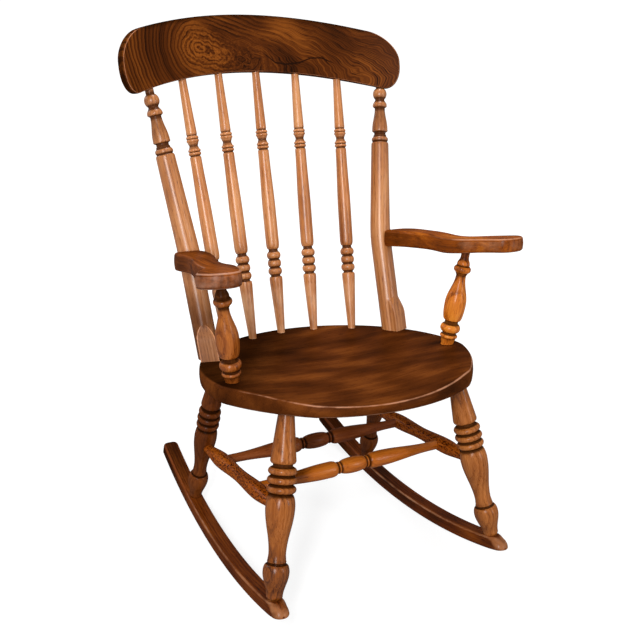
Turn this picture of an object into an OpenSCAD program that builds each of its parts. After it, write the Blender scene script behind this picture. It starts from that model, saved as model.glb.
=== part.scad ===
// Elbow rocking chair with a turned spindle back, standing on two bent rockers
// Every piece is drawn in the upright chair: the rim of the seat is the plane z = 0 and the sitter faces -Y.
// The whole chair is then leaned back about X and set down on its rockers.
// Left and right are as seen from the front, so left is -X.

/* [Seat] */
// Width of the seat from side to side, which is also the diameter of its round back
seat_w = 532; // [522:1:550]
// Thickness of the seat board
seat_t = 34; // [32:1:44]
// From the widest line of the seat forward to its front edge
seat_front = 238; // [232:1:252]
// Rounding of the upper and lower edges of the seat
seat_round = 7; // [3:1:10]
// Depth of the hollow that is worked into the seat
dish_depth = 10; // [6:1:12]
// From the side of the seat in to the rim of the hollow
dish_inset = 70; // [61:1:96]

/* [Back] */
// Height of the middle spindle between the seat and the crest rail
back_h = 531; // [480:1:560]
// How far the middle spindle leans back over that height
back_rake = 85; // [60:1:105]
// From the round back edge of the seat in to the curved row of spindles
spindle_inset = 26; // [22:1:38]
// Spacing of the spindles in the seat
spindle_pitch = 72; // [64:1:76]
// Spacing of the spindles in the crest rail
spindle_fan = 87; // [78:1:92]
// Radius of a spindle at its two ends
spindle_end_r = 7.8; // [6:0.1:9]
// Radius of a spindle at its thickest
spindle_r = 13.6; // [12:0.2:15.6]
// Radius of an upright at its thickest
upright_r = 22; // [20:0.5:24]
// Radius of the neck and tenon at the top of an upright
upright_neck_r = 8.2; // [7:0.2:10]
// From the side of the seat in to the middle of the foot of an upright
upright_inset = 54; // [50:1:60]
// From the middle of the foot of an upright out to the round edge of the seat
upright_rim = 12; // [11:1:20]
// From the end of the crest rail in to the middle of the top of an upright
crest_inset = 50; // [45:1:59]

/* [Crest rail] */
// Length of the crest rail along its chord
crest_w = 614; // [598:1:638]
// Height of the crest rail in the middle
crest_h = 113; // [95:1:130]
// Thickness of the crest rail
crest_t = 24; // [22:1:30]
// Radius of the bend of the crest rail in plan
crest_bend_r = 545; // [500:5:700]
// Radius of the arch of its top and bottom edges
crest_arch_r = 800; // [650:10:1100]

/* [Arms] */
// Height of the underside of an arm above the seat at its post
arm_h = 181; // [165:1:195]
// Thickness of an arm at the hand rest
arm_t = 27; // [24:1:32]
// Width of the hand rest
pad_w = 74; // [62:1:84]
// From the side of the seat in to the middle of the foot of an arm post
post_inset = 31; // [28:1:38]
// How far an arm post leans outwards
post_splay = 25; // [15:1:32]
// Radius of an arm post at its thickest
post_r = 21; // [18:0.5:23]

/* [Legs] */
// Radius of a front leg at its thickest
front_leg_r = 26; // [24:0.5:29]
// Radius of a rear leg at its thickest
rear_leg_r = 22.5; // [21:0.5:27]
// From the side of the seat in to where the line of a front leg crosses the rim plane
front_leg_inset = 92; // [86:1:100]
// From the side of the seat in to where the line of a rear leg crosses the rim plane
rear_leg_inset = 67; // [63:1:76]
// Radius of a side stretcher at its swellings
side_stretcher_r = 15.5; // [13:0.5:18]
// Radius of a cross stretcher at its swellings
cross_stretcher_r = 15.5; // [13:0.5:17]

/* [Rockers] */
// Radius of the running edge of a rocker
rocker_r = 1000; // [900:10:1200]
// Height of the section of a rocker
rocker_h = 24; // [22:1:32]
// Width of the section of a rocker
rocker_w = 32; // [30:1:38]
// From the rim plane down to the lowest line of the rockers
rocker_drop = 386; // [370:1:410]
// From the side of the seat in to the middle line of a rocker, at the lowest line
rocker_inset = 37; // [32:1:44]
// How much the rockers draw together towards the rear, in degrees
rocker_toe = 4; // [1:0.5:6]
// How far a rocker reaches forward of its lowest line, along the curve
rocker_front = 160; // [150:1:190]
// How far a rocker reaches behind its lowest line, along the curve
rocker_rear = 468; // [400:2:500]
// How far the empty chair leans back at rest, in degrees
rest_lean = 12.3; // [9:0.1:14]

/* [Fits] */
// Gap round a tenon or peg in its socket
fit = 0.1; // [0.05:0.05:0.3]
// Gap between shaped faces that only meet
seat_gap = 0.2; // [0.1:0.05:0.4]
// Length of the tenons in the seat
tenon_l = 22; // [18:1:24]
// Length of the tenons in the crest rail
crest_tenon_l = 22; // [16:1:30]
// Length of the tenons in the rockers
rocker_tenon_l = 15; // [10:1:18]
// Radius of the wooden pegs
peg_r = 3; // [2.5:0.25:4]
// Radius of the shank of an arm screw
screw_r = 2.5; // [2:0.25:3]

/* [Hidden] */

// Fineness of the curves
$fn = 96;
bead_steps = 6;
flow_steps = 7;
arm_steps = 28;
pad_steps = 12;
past = 4;

// Places in the upright chair
seat_mid_y = -60;
dish_y = -44;
dish_r = seat_w / 2 - dish_inset;
front_dish_x = -50; // the front of the seat is worn hollow a little to one side
front_dish_y = -250;
front_dish_r = dish_r - 6;
front_dish_depth = 1.5 * dish_depth;
front_leg_x = seat_w / 2 - front_leg_inset;
front_leg_y = -176;
rear_leg_x = seat_w / 2 - rear_leg_inset;
rear_leg_y = 56;
front_foot_y = -229;
rear_foot_y = 183;
rocker_low_y = -95;
rocker_gap = seat_w / 2 - rocker_inset;
spindle_row_r = seat_w / 2 - spindle_inset;
back_y = seat_mid_y + spindle_row_r;
upright_foot_x = seat_w / 2 - upright_inset;
upright_foot_y = seat_mid_y + sqrt(pow(seat_w / 2 - upright_rim, 2) - pow(upright_foot_x, 2));
upright_top_x = crest_w / 2 - crest_inset;
post_foot_x = seat_w / 2 - post_inset;
post_foot_y = -82;
post_rake = 22;

// Turned pieces
leg_end_share = 0.56;
leg_tenon_r = 8.5;
leg_full_r = 27.5;
post_end_r = 12.5;
post_neck_r = 8.2;
post_full_r = 21;
spindle_full_r = 14.2;
upright_full_r = 22;
upright_tenon_r = 9;
bend_r = 21.6;
stretcher_end_r = 9.5;
cross_end_r = 9;

// The square foot at the front of each upright
foot_turn = 20;
foot_w = 36;
foot_reach = 27;
foot_straight = 46;
foot_rise = 74;
foot_tuck = 14;

// The line of each upright: straight from the seat to the arm, then turned a little towards the back
bend_z = arm_h + 12;
bend = [upright_foot_x + 9, upright_foot_y + 51, bend_z];
upright_foot = [upright_foot_x, upright_foot_y, 0];

// The lean of the back and the bend and arch of the crest rail
back_lean = atan(back_rake / back_h);
// How far the round corners of the crest rail reach along it, and how much they take off its edges
crest_top_corner = 54;
crest_low_corner = 36;
crest_top_drop = 0.41 * crest_h;
crest_low_drop = 0.53 * crest_h;

function bow(x) = sqrt(crest_bend_r * crest_bend_r - x * x) - crest_bend_r;
function arch(x) = sqrt(crest_arch_r * crest_arch_r - x * x) - crest_arch_r;

// A place on the middle surface of the crest rail, at height h over the middle of its bottom edge
function crest_at(x, h) =
    [x,
     back_y + back_rake + bow(x) * cos(back_lean) + h * sin(back_lean),
     back_h - bow(x) * sin(back_lean) + h * cos(back_lean)];

upright_top = crest_at(upright_top_x, arch(upright_top_x));

// The line of each arm post
post_foot = [post_foot_x, post_foot_y, 0];
post_top = [post_foot_x + post_splay, post_foot_y - post_rake, arm_h];

// The middle of the rockers' curve and the middle line of a rocker at a distance y from the lowest line
curve_z = rocker_r - rocker_drop;
function rocker_x(y) = rocker_gap - (y - rocker_low_y) * tan(rocker_toe);
function rocker_top_z(y) =
    curve_z - sqrt(pow(rocker_r - rocker_h, 2) - pow((y - rocker_low_y) / cos(rocker_toe), 2));

front_foot = [rocker_x(front_foot_y), front_foot_y, rocker_top_z(front_foot_y)];
rear_foot = [rocker_x(rear_foot_y), rear_foot_y, rocker_top_z(rear_foot_y)];
front_crossing = [front_leg_x, front_leg_y, 0];
rear_crossing = [rear_leg_x, rear_leg_y, 0];

// Stretchers: how far up the legs they stand, and how far along the side stretchers the cross ones stand
side_front_up = 154;
side_rear_up = 136;
cross_front_share = 0.31;
cross_rear_share = 0.73;
side_inset = 8;
cross_inset = 4;

// Angles along a rocker from its lowest line
front_angle = rocker_front / rocker_r * 180 / PI;
rear_angle = rocker_rear / rocker_r * 180 / PI;
rocker_edge = 5;
// From the middle of the half round toe back to where its top begins to fall
toe_back = 12;
rear_corner = 6;

// The chair at rest: height of the rim plane's middle, and the middle of the whole length
side_tilt = asin(sin(rest_lean) * sin(rocker_toe));
rest_reach = rocker_r * cos(side_tilt) + rocker_w / 2 * sin(side_tilt);
function leaned(y, z) = y * cos(rest_lean) + z * sin(rest_lean);
function risen(y, z) = z * cos(rest_lean) - y * sin(rest_lean);
rest_z = rest_reach - risen(rocker_low_y, curve_z);
toe_angle = front_angle + rest_lean;
toe_y = leaned(rocker_low_y, curve_z) - rocker_r * cos(rocker_toe) * sin(toe_angle) -
    rocker_w / 2 * cos(toe_angle);
crest_back = crest_at(0, crest_h) + crest_t / 2 * [0, cos(back_lean), -sin(back_lean)];
rest_y = -(toe_y + leaned(crest_back[1], crest_back[2])) / 2;

function between(a, b, share) = a + (b - a) * share;
function mirrored(p) = [-p[0], p[1], p[2]];

// Points of a smooth line from one radius and height to the next, level at both ends
function flow(r0, z0, r1, z1) =
    [for (i = [1:flow_steps]) let (t = i / flow_steps)
        [r0 + (r1 - r0) * (1 - cos(180 * t)) / 2, z0 + (z1 - z0) * t]];

// Points of a quarter round that leaves the first radius steeply and ends level
function swell(r0, z0, r1, z1) =
    [for (i = [1:flow_steps]) let (t = i / flow_steps)
        [r0 + (r1 - r0) * sin(90 * t), z0 + (z1 - z0) * (1 - cos(90 * t))]];

// Points of a quarter round that leaves the first radius level and ends steeply
function fall(r0, z0, r1, z1) =
    [for (i = [1:flow_steps]) let (t = i / flow_steps)
        [r0 + (r1 - r0) * (1 - cos(90 * t)), z0 + (z1 - z0) * sin(90 * t)]];

// Points of a half round bead on a ground radius
function bead(ground, z0, r, z1) =
    [for (i = [1:bead_steps]) let (a = 180 * i / bead_steps)
        [ground + (r - ground) * sin(a), z0 + (z1 - z0) * (1 - cos(a)) / 2]];

// A value on the smooth line through evenly spaced values
function held(v, i) = v[max(0, min(len(v) - 1, i))];
function curve(v, share) =
    let (u = share * (len(v) - 1), i = min(floor(u), len(v) - 2), t = u - i,
         a = held(v, i - 1), b = held(v, i), c = held(v, i + 1), d = held(v, i + 2))
    b + t / 2 * (c - a + t * (2 * a - 5 * b + 4 * c - d + t * (3 * b - 3 * c + d - a)));

// Stands a piece that is turned about Z on the line from one place to another
module along(from, to) {
    d = to - from;
    translate(from) rotate([0, acos(d[2] / norm(d)), atan2(d[1], d[0])]) children();
}

// Leans the upright chair back and sets it on the floor
module at_rest() {
    translate([0, rest_y, rest_z]) rotate([-rest_lean, 0, 0]) children();
}

module for_side(left) {
    mirror([left ? 1 : 0, 0, 0]) children();
}

// A round hole of a tenon: from its blind end outwards past the surface
// It is turned so that the start of its round lies away from the longest line of its mouth
module socket(end, out, r, length) {
    along(end, out) translate([0, 0, -fit]) rotate(45) cylinder(r = r + fit, h = length + fit);
}

// Seat

// The section of the seat from its middle out to a radius, with both edges rounded
module seat_section(r) {
    intersection() {
        translate([0, -seat_t]) square([r, seat_t]);
        union() {
            translate([0, -seat_t]) square([r - seat_round, seat_t]);
            translate([0, seat_round - seat_t]) square([r, seat_t - 2 * seat_round]);
            for (z = [-seat_round, seat_round - seat_t])
                translate([r - seat_round, z]) circle(r = seat_round);
        }
    }
}

module rounded_disc(r) {
    rotate_extrude() seat_section(r);
}

// The plan is a round disc, drawn in at the front by one larger disc and at the front corners by two more
front_r = 1.13 * seat_w / 2;
corner_r = 1.5 * seat_w / 2;
corner_back = corner_r - (seat_w + 3 * seat_front) / 5;
corner_turn = 42;

module seat_board() {
    translate([0, seat_mid_y, 0]) intersection() {
        rounded_disc(seat_w / 2);
        translate([0, front_r - seat_front, 0]) rounded_disc(front_r);
        corner_disc(false);
        corner_disc(true);
    }
}

module corner_disc(left) {
    for_side(left) translate([-corner_back * cos(corner_turn), corner_back * sin(corner_turn), 0])
        rounded_disc(corner_r);
}

// A shallow round hollow in the top of the seat
module hollow(x, y, r, depth) {
    ball_r = (r * r + depth * depth) / (2 * depth);
    translate([x, y, ball_r - depth]) rotate([0, 90, 0]) sphere(r = ball_r, $fn = 360);
}

module seat() {
    at_rest() color("saddlebrown") difference() {
        seat_board();
        hollow(0, dish_y, dish_r, dish_depth);
        hollow(front_dish_x, front_dish_y, front_dish_r, front_dish_depth);
        for (left = [false, true]) for_side(left) {
            leg_socket(front_foot, front_crossing, front_leg_end_r);
            leg_socket(rear_foot, rear_crossing, rear_leg_end_r);
            post_socket();
            socket(upright_tenon_end, upright_foot, upright_tenon_r, tenon_l + past);
        }
        for (i = [-2:2]) socket(spindle_low(i), spindle_seat(i), spindle_end_r, tenon_l + past);
    }
}

// Legs

front_leg_end_r = front_leg_r * leg_end_share;
rear_leg_end_r = rear_leg_r * leg_end_share;

// How far along its line a leg lies a given depth under the rim plane
function leg_reach(foot, crossing, depth) = norm(crossing - foot) * (1 + depth / foot[2]);

module leg_socket(foot, crossing, r) {
    top = between(foot, crossing, leg_reach(foot, crossing, seat_t - tenon_l) / norm(crossing - foot));
    socket(top, foot, r, tenon_l + 4 * past);
}

// Half the outline of a leg, with k the share of the full radius
function leg_line(k, end_r, under, top) = concat(
    [[0, -12], [15.2 * k, -12], [15.2 * k, 3]],
    flow(15.2 * k, 3, 24.6 * k, 46),
    flow(24.6 * k, 46, 17 * k, 65),
    [[17.4 * k, 66], [17.4 * k, 68.5], [16.2 * k, 70]],
    flow(16.2 * k, 70, 27.5 * k, 160),
    fall(27.5 * k, 160, 20.8 * k, 183),
    bead(22.8 * k, 183, 27.2 * k, 199),
    bead(22.8 * k, 199, 27.2 * k, 215),
    bead(22.6 * k, 215, 26.6 * k, 230),
    [[19.6 * k, 231], [19.6 * k, 235]],
    swell(19.6 * k, 235, 23.4 * k, 242),
    [[23.2 * k, 246], [end_r, under - 8], [end_r, top], [0, top]]);

module turned_leg(foot, crossing, r, end_r) {
    along(foot, crossing) rotate_extrude()
        polygon(leg_line(r / leg_full_r, end_r, leg_reach(foot, crossing, seat_t),
                         leg_reach(foot, crossing, seat_t - tenon_l)));
}

// The foot is cut to the rocker that it stands on, and its tenon is pegged
module leg(foot, crossing, r, end_r, stretcher_a, stretcher_b) {
    difference() {
        union() {
            difference() {
                turned_leg(foot, crossing, r, end_r);
                rocker_space();
            }
            along(foot, crossing) translate([0, 0, -rocker_tenon_l])
                cylinder(r = leg_tenon_r, h = rocker_tenon_l + past);
        }
        socket(stretcher_a, stretcher_b, stretcher_end_r, leg_full_r);
        peg_line(foot, fit);
    }
}

module front_leg(left) {
    at_rest() for_side(left) color("chocolate")
        leg(front_foot, front_crossing, front_leg_r, front_leg_end_r, side_front, side_rear);
}

module rear_leg(left) {
    at_rest() for_side(left) color("sienna")
        leg(rear_foot, rear_crossing, rear_leg_r, rear_leg_end_r, side_rear, side_front);
}

// Stretchers

front_mid = between(front_foot, front_crossing, side_front_up / norm(front_crossing - front_foot));
rear_mid = between(rear_foot, rear_crossing, side_rear_up / norm(rear_crossing - rear_foot));
side_length = norm(rear_mid - front_mid);
side_front = between(front_mid, rear_mid, side_inset / side_length);
side_rear = between(rear_mid, front_mid, side_inset / side_length);
cross_front = between(front_mid, rear_mid, cross_front_share);
cross_rear = between(front_mid, rear_mid, cross_rear_share);

// Half the outline of a side stretcher, with two swellings
function side_line(l) = concat(
    [[0, 0], [stretcher_end_r, 0], [stretcher_end_r, leg_full_r * 0.7]],
    flow(stretcher_end_r, leg_full_r * 0.7, side_stretcher_r, l * 0.27),
    flow(side_stretcher_r, l * 0.27, side_stretcher_r - 3, l * 0.5),
    flow(side_stretcher_r - 3, l * 0.5, side_stretcher_r, l * 0.73),
    flow(side_stretcher_r, l * 0.73, stretcher_end_r, l - leg_full_r * 0.7),
    [[stretcher_end_r, l], [0, l]]);

module side_stretcher(left) {
    at_rest() for_side(left) color("peru") difference() {
        along(side_front, side_rear) rotate_extrude() polygon(side_line(side_length - 2 * side_inset));
        cross_socket(cross_front);
        cross_socket(cross_rear);
    }
}

function cross_end(p) = [p[0] - cross_inset, p[1], p[2]];

module cross_socket(p) {
    socket(cross_end(p), mirrored(p), cross_end_r, side_stretcher_r + past);
}

// Half of the outline of a cross stretcher on one side of its middle
function cross_half(l) = concat(
    [[0, 0], [cross_stretcher_r - 1, 0]],
    flow(cross_stretcher_r - 1, 0, 11.6, 27),
    bead(11.6, 27, 12.6, 33),
    swell(11.6, 33, cross_stretcher_r, 50),
    [[cross_stretcher_r, 60]],
    flow(cross_stretcher_r, 60, cross_end_r, l - 2 * side_stretcher_r),
    [[cross_end_r, l], [0, l]]);

module cross_stretcher(p) {
    end = cross_end(p);
    at_rest() color("peru") for (left = [false, true]) for_side(left)
        translate([0, end[1], end[2]]) rotate([0, 90, 0]) rotate_extrude() polygon(cross_half(end[0]));
}

// Rockers

module rocker_section(w, h, edge) {
    union() {
        translate([rocker_r - h + edge, -w / 2]) square([h - edge, w]);
        translate([rocker_r - h, edge - w / 2]) square([h, w - 2 * edge]);
        for (s = [-1, 1]) translate([rocker_r - h + edge, s * (w / 2 - edge)]) circle(r = edge);
    }
}

// The frame of a rocker's curve: its angle is measured from the lowest line towards the rear
module on_curve(angle) {
    translate([rocker_gap, rocker_low_y, curve_z]) rotate([0, 0, rocker_toe])
        rotate([0, 90, 0]) rotate([0, 0, angle]) children();
}

// The half round toe of a rocker
module rocker_toe_end() {
    half = rocker_w / 2;
    rotate([0, 90, 0]) rotate_extrude(angle = 180) intersection() {
        translate([0, rocker_r - rocker_h]) square([half, rocker_h]);
        union() {
            translate([0, rocker_r - rocker_h + rocker_edge]) square([half, rocker_h]);
            translate([0, rocker_r - rocker_h]) square([half - rocker_edge, rocker_h]);
            translate([half - rocker_edge, rocker_r - rocker_h + rocker_edge]) circle(r = rocker_edge);
        }
    }
}

// What is cut off the top of the toe, so that it comes down in a round
module toe_top() {
    fall = rocker_h + 4;
    translate([rocker_r - rocker_h - fall, -2 * rocker_w, -rocker_w])
        cube([2 * fall - 1, 2 * rocker_w + toe_back, 2 * rocker_w]);
}

module toe_round() {
    fall = rocker_h + 4;
    translate([rocker_r - rocker_h + fall - 1, toe_back, -rocker_w - 1]) cylinder(r = fall, h = 2 * rocker_w + 2);
}

// What is cut off the two corners of the rear end
module rear_corners() {
    for (s = [-1, 1]) translate([rocker_r - rocker_h / 2, 0, s * rocker_w / 2])
        rotate([45, 0, 0]) cube([2 * rocker_h, sqrt(2) * rear_corner, sqrt(2) * rear_corner], center = true);
}

module rocker(left) {
    at_rest() for_side(left) color("maroon") difference() {
        union() {
            on_curve(-front_angle) rotate_extrude(angle = front_angle + rear_angle, $fn = 360)
                rocker_section(rocker_w, rocker_h, rocker_edge);
            on_curve(-front_angle) mirror([0, 1, 0]) rocker_toe_end();
        }
        on_curve(-front_angle) difference() {
            toe_top();
            toe_round();
        }
        on_curve(rear_angle) rear_corners();
        foot_socket(front_foot, front_crossing);
        foot_socket(rear_foot, rear_crossing);
        peg_line(front_foot, fit);
        peg_line(rear_foot, fit);
    }
}

module foot_socket(foot, crossing) {
    along(foot, crossing) translate([0, 0, -rocker_tenon_l - fit])
        cylinder(r = leg_tenon_r + fit, h = rocker_tenon_l + fit + 3 * past);
}

// What the feet are cut with: the rocker and a small gap over it
module rocker_space() {
    on_curve(-front_angle) rotate_extrude(angle = front_angle + rear_angle, $fn = 360)
        translate([rocker_r - rocker_h - seat_gap, -rocker_w]) square([2 * rocker_h, 2 * rocker_w]);
}

// A peg through the side of a rocker and the tenon of a foot
module peg_line(foot, gap) {
    translate([foot[0], foot[1], foot[2] - rocker_tenon_l / 2]) rotate([0, 0, rocker_toe]) rotate([0, 90, 0])
        cylinder(r = peg_r + gap, h = rocker_w - 1 + 2 * gap, center = true);
}

module rocker_pegs() {
    at_rest() color("burlywood") for (left = [false, true]) for_side(left) {
        peg_line(front_foot, 0);
        peg_line(rear_foot, 0);
    }
}

// Uprights

upright_tenon_end = upright_foot - tenon_l * (bend - upright_foot) / norm(bend - upright_foot);
upright_end = upright_top + crest_tenon_l * (upright_top - bend) / norm(upright_top - bend);

// Half the outline of the upper part of an upright, from its bend at 0 to the crest rail at l
function upright_line(k, l) = concat(
    [[0, 0], [bend_r * k - 0.3, 0], [18 * k, l - 124]],
    fall(18 * k, l - 124, 16 * k, l - 120),
    bead(14.4 * k, l - 120, 17 * k, l - 109),
    [[14 * k, l - 108], [14 * k, l - 106], [12.2 * k, l - 104], [12.2 * k, l - 100],
     [15.6 * k, l - 98], [16.3 * k, l - 96], [16.3 * k, l - 94]],
    flow(16.3 * k, l - 94, 10.6 * k, l - 48),
    [[12.6 * k, l - 46], [14.8 * k, l - 43]],
    flow(14.8 * k, l - 41, 9.8 * k, l - 30),
    bead(9.8 * k, l - 29, 14.3 * k, l - 8),
    [[upright_neck_r, l - 6], [upright_neck_r, l + crest_tenon_l], [0, l + crest_tenon_l]]);

// The square foot stands forward of the round shaft, with its front face drawn back to a rounded top
module upright_foot_block() {
    d = bend - upright_foot;
    rotate([0, 0, foot_turn]) rotate([90, 0, 90]) translate([0, 0, -foot_w / 2])
        linear_extrude(foot_w) polygon(concat(
            [[0, -2 * past], [-foot_reach + 2 * past * foot_slope, -2 * past]],
            [for (p = flow(foot_reach, foot_straight, foot_tuck, foot_rise))
                [p[1] * foot_slope - p[0], p[1]]],
            [[foot_rise * foot_slope, foot_rise]]));
}
foot_slope = -0.12 + (bend[1] - upright_foot[1]) / bend[2];

// The straight lower stretch, and a ball that is a little prouder where the line turns
module upright_shaft(grow) {
    k = upright_r / upright_full_r;
    along(upright_foot, bend) translate([0, 0, -3 * past])
        cylinder(r1 = upright_r + grow, r2 = bend_r * k - 0.3 + grow,
                 h = norm(bend - upright_foot) + 3 * past);
    translate(bend) sphere(r = bend_r * k + grow);
}

module upright(left) {
    k = upright_r / upright_full_r;
    at_rest() for_side(left) color("goldenrod") difference() {
        union() {
            difference() {
                union() {
                    upright_shaft(0);
                    translate(upright_foot) upright_foot_block();
                }
                translate([0, 0, -seat_t]) cube([2 * seat_w, 2 * seat_w, 2 * seat_t], center = true);
            }
            along(bend, upright_top) rotate_extrude()
                polygon(upright_line(k, norm(upright_top - bend)));
            along(upright_tenon_end, upright_foot) cylinder(r = upright_tenon_r, h = tenon_l + past);
        }
        screw_line(fit);
        crest_peg_line(fit);
    }
}

// Spindles

function spindle_seat(i) =
    let (x = i * spindle_pitch) [x, seat_mid_y + sqrt(spindle_row_r * spindle_row_r - x * x), 0];
function spindle_crest(i) = crest_at(i * spindle_fan, arch(i * spindle_fan));
function spindle_low(i) = beyond(spindle_crest(i), spindle_seat(i), tenon_l);
function spindle_high(i) = beyond(spindle_seat(i), spindle_crest(i), crest_tenon_l);
function beyond(a, b, more) = b + more * (b - a) / norm(b - a);

// Half the outline of a spindle, from the seat at 0 to the crest rail at l
// All five are turned alike, as long as the middle one, and the outer ones are cut shorter at the top
function spindle_line(k, l, turned) = concat(
    [[0, -tenon_l], [spindle_end_r, -tenon_l], [spindle_end_r, 6], [14.2 * k, 113], [13.6 * k, 116]],
    [[11 * k, 118], [11 * k, 121]],
    bead(11.8 * k, 121, 14.8 * k, 137),
    bead(11.8 * k, 137, 14.4 * k, 154),
    bead(11.8 * k, 154, 14.8 * k, 170),
    [[10.8 * k, 171], [10.8 * k, 175]],
    swell(10.8 * k, 175, 14.2 * k, 188),
    [[14.2 * k, 250], [11.4 * k, turned - 158], [10.4 * k, turned - 157], [10.4 * k, turned - 155]],
    bead(11 * k, turned - 155, 12.8 * k, turned - 149),
    bead(11 * k, turned - 149, 12.8 * k, turned - 143),
    flow(10.6 * k, turned - 143, 9 * k, turned - 137),
    flow(9 * k, turned - 137, 11 * k, turned - 130),
    bead(11 * k, turned - 130, 12.6 * k, turned - 124),
    bead(11 * k, turned - 124, 12.6 * k, turned - 118),
    [[10.4 * k, turned - 116], [11 * k, turned - 114], [spindle_end_r, l - 6],
     [spindle_end_r, l + crest_tenon_l], [0, l + crest_tenon_l]]);

module back_spindle(i) {
    from = spindle_seat(i);
    to = spindle_crest(i);
    at_rest() color("orange") along(from, to) rotate_extrude()
        polygon(spindle_line(spindle_r / spindle_full_r, norm(to - from),
                             norm(spindle_crest(0) - spindle_seat(0))));
}

// Crest rail

// Half the outline of the crest rail seen from the front, from the middle of the top to the middle below
function crest_half() =
    let (top_x = crest_w / 2 - crest_top_corner, low_x = crest_w / 2 - crest_low_corner)
    concat(
        [for (i = [0:8]) [top_x * i / 8, crest_h + arch(top_x * i / 8)]],
        [for (i = [1:8]) let (a = 90 - 90 * i / 8, x = top_x + crest_top_corner * cos(a))
            [x, crest_h + arch(x) - crest_top_drop * (1 - sin(a))]],
        [for (i = [0:8]) let (a = -90 * i / 8, x = low_x + crest_low_corner * cos(a))
            [x, arch(x) + crest_low_drop * (1 + sin(a))]],
        [for (i = [7:-1:0]) [low_x * i / 8, arch(low_x * i / 8)]]);

module crest_rail() {
    half = crest_half();
    outline = concat(half, [for (i = [len(half) - 2:-1:1]) [-half[i][0], half[i][1]]]);
    at_rest() color("brown") difference() {
        translate([0, back_y + back_rake, back_h]) rotate([-back_lean, 0, 0]) intersection() {
            translate([0, -crest_bend_r, -crest_h]) difference() {
                cylinder(r = crest_bend_r + crest_t / 2, h = 3 * crest_h, $fn = 360);
                translate([0, 0, -1])
                    cylinder(r = crest_bend_r - crest_t / 2, h = 3 * crest_h + 2, $fn = 360);
            }
            rotate([90, 0, 0]) translate([0, 0, -crest_t]) linear_extrude(crest_w / 2) polygon(outline);
        }
        for (i = [-2:2])
            socket(spindle_high(i), spindle_seat(i), spindle_end_r, crest_tenon_l + 2 * past);
        for (left = [false, true]) for_side(left) {
            socket(upright_end, bend, upright_neck_r, crest_tenon_l + 2 * past);
            crest_peg_line(fit);
        }
    }
}

// A peg from the back of the crest rail through the tenon of an upright
peg_up = crest_tenon_l / 2;
module crest_peg_line(gap) {
    turn = asin(upright_top_x / crest_bend_r);
    translate(between(upright_top, upright_end, 0.5)) rotate([-back_lean, 0, 0]) rotate([0, 0, -turn])
        rotate([-90, 0, 0]) translate([0, 0, -crest_t / 4])
        cylinder(r = peg_r + gap, h = crest_t * 3 / 4 - 1.5 + gap);
}

module crest_pegs() {
    at_rest() color("burlywood") for (left = [false, true]) for_side(left) crest_peg_line(0);
}

// Arms

// The middle line of an arm in plan, from the upright to the hand rest
arm_middle = [[bend[0] + 12, bend[1] - 14], [bend[0] + 16, bend[1] - 55], [bend[0] + 21, bend[1] - 110],
              [between(bend[0], post_top[0], 0.72) + 6, between(bend[1], post_top[1], 0.72)],
              [post_top[0], post_top[1]],
              [post_top[0] + 19, post_top[1] - 40], [post_top[0] + 36, post_top[1] - 75]];
// Half the width of the arm at those places
arm_half = [pad_w * 0.31, pad_w * 0.38, pad_w * 0.33, pad_w * 0.3, pad_w * 0.36, pad_w * 0.46, pad_w * 0.5];
// The underside of the arm over its height at the post, and its thickness, from the rear to the front
arm_under = [-14, -7, -2, 0, -1, 5, 12, 16];
arm_deep = [8, 7, 6, 5, 4, 2, 0, 0];

function arm_normal(share) =
    let (d = curve(arm_middle, min(1, share + 0.01)) - curve(arm_middle, max(0, share - 0.01)))
    [d[1], -d[0]] / norm(d);

function arm_edge(side) =
    [for (i = [0:arm_steps]) let (s = i / arm_steps)
        curve(arm_middle, s) + side * curve(arm_half, s) * arm_normal(s)];

// The rounded front of the hand rest
function pad_front() =
    let (n = arm_normal(1), ahead = [n[1], -n[0]], mid = arm_middle[len(arm_middle) - 1])
    [for (i = [1:pad_steps - 1]) let (a = 180 * i / pad_steps)
        mid + pad_w / 2 * cos(a) * n + pad_w * 0.42 * sin(a) * [-ahead[0], -ahead[1]]];

function backwards(v) = [for (i = [len(v) - 1:-1:0]) v[i]];

// The plan outline sawn from the board
module arm_plan() {
    polygon(concat(arm_edge(1), pad_front(), backwards(arm_edge(-1))));
}

// The curved top and underside, over the length of the arm
arm_rear_y = bend[1] + 10;
arm_front_y = post_top[1] - 75 - pad_w / 2;
module arm_profile() {
    under = [for (i = [0:arm_steps]) let (s = i / arm_steps)
        [between(arm_rear_y, arm_front_y, s), arm_h + curve(arm_under, s)]];
    top = [for (i = [0:arm_steps]) let (s = i / arm_steps)
        [between(arm_rear_y, arm_front_y, s), arm_h + arm_t + curve(arm_under, s) + curve(arm_deep, s)]];
    polygon(concat(under, backwards(top)));
}

module arm(left) {
    at_rest() for_side(left) color("sienna") difference() {
        intersection() {
            translate([0, 0, arm_h - 2 * arm_t]) linear_extrude(5 * arm_t) arm_plan();
            rotate([90, 0, 90]) linear_extrude(seat_w) arm_profile();
        }
        upright_shaft(seat_gap);
        along(bend, upright_top) cylinder(r = upright_r + seat_gap, h = 3 * arm_t);
        socket(post_end, post_foot, post_neck_r, tenon_l + past);
        screw_line(fit);
    }
}

// Half the outline of an arm post, from the seat at 0 to the arm at l
post_axis = post_top - post_foot;
post_low = post_foot - tenon_l * post_axis / norm(post_axis);
post_end = post_top + tenon_l * 0.7 * post_axis / norm(post_axis);

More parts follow.
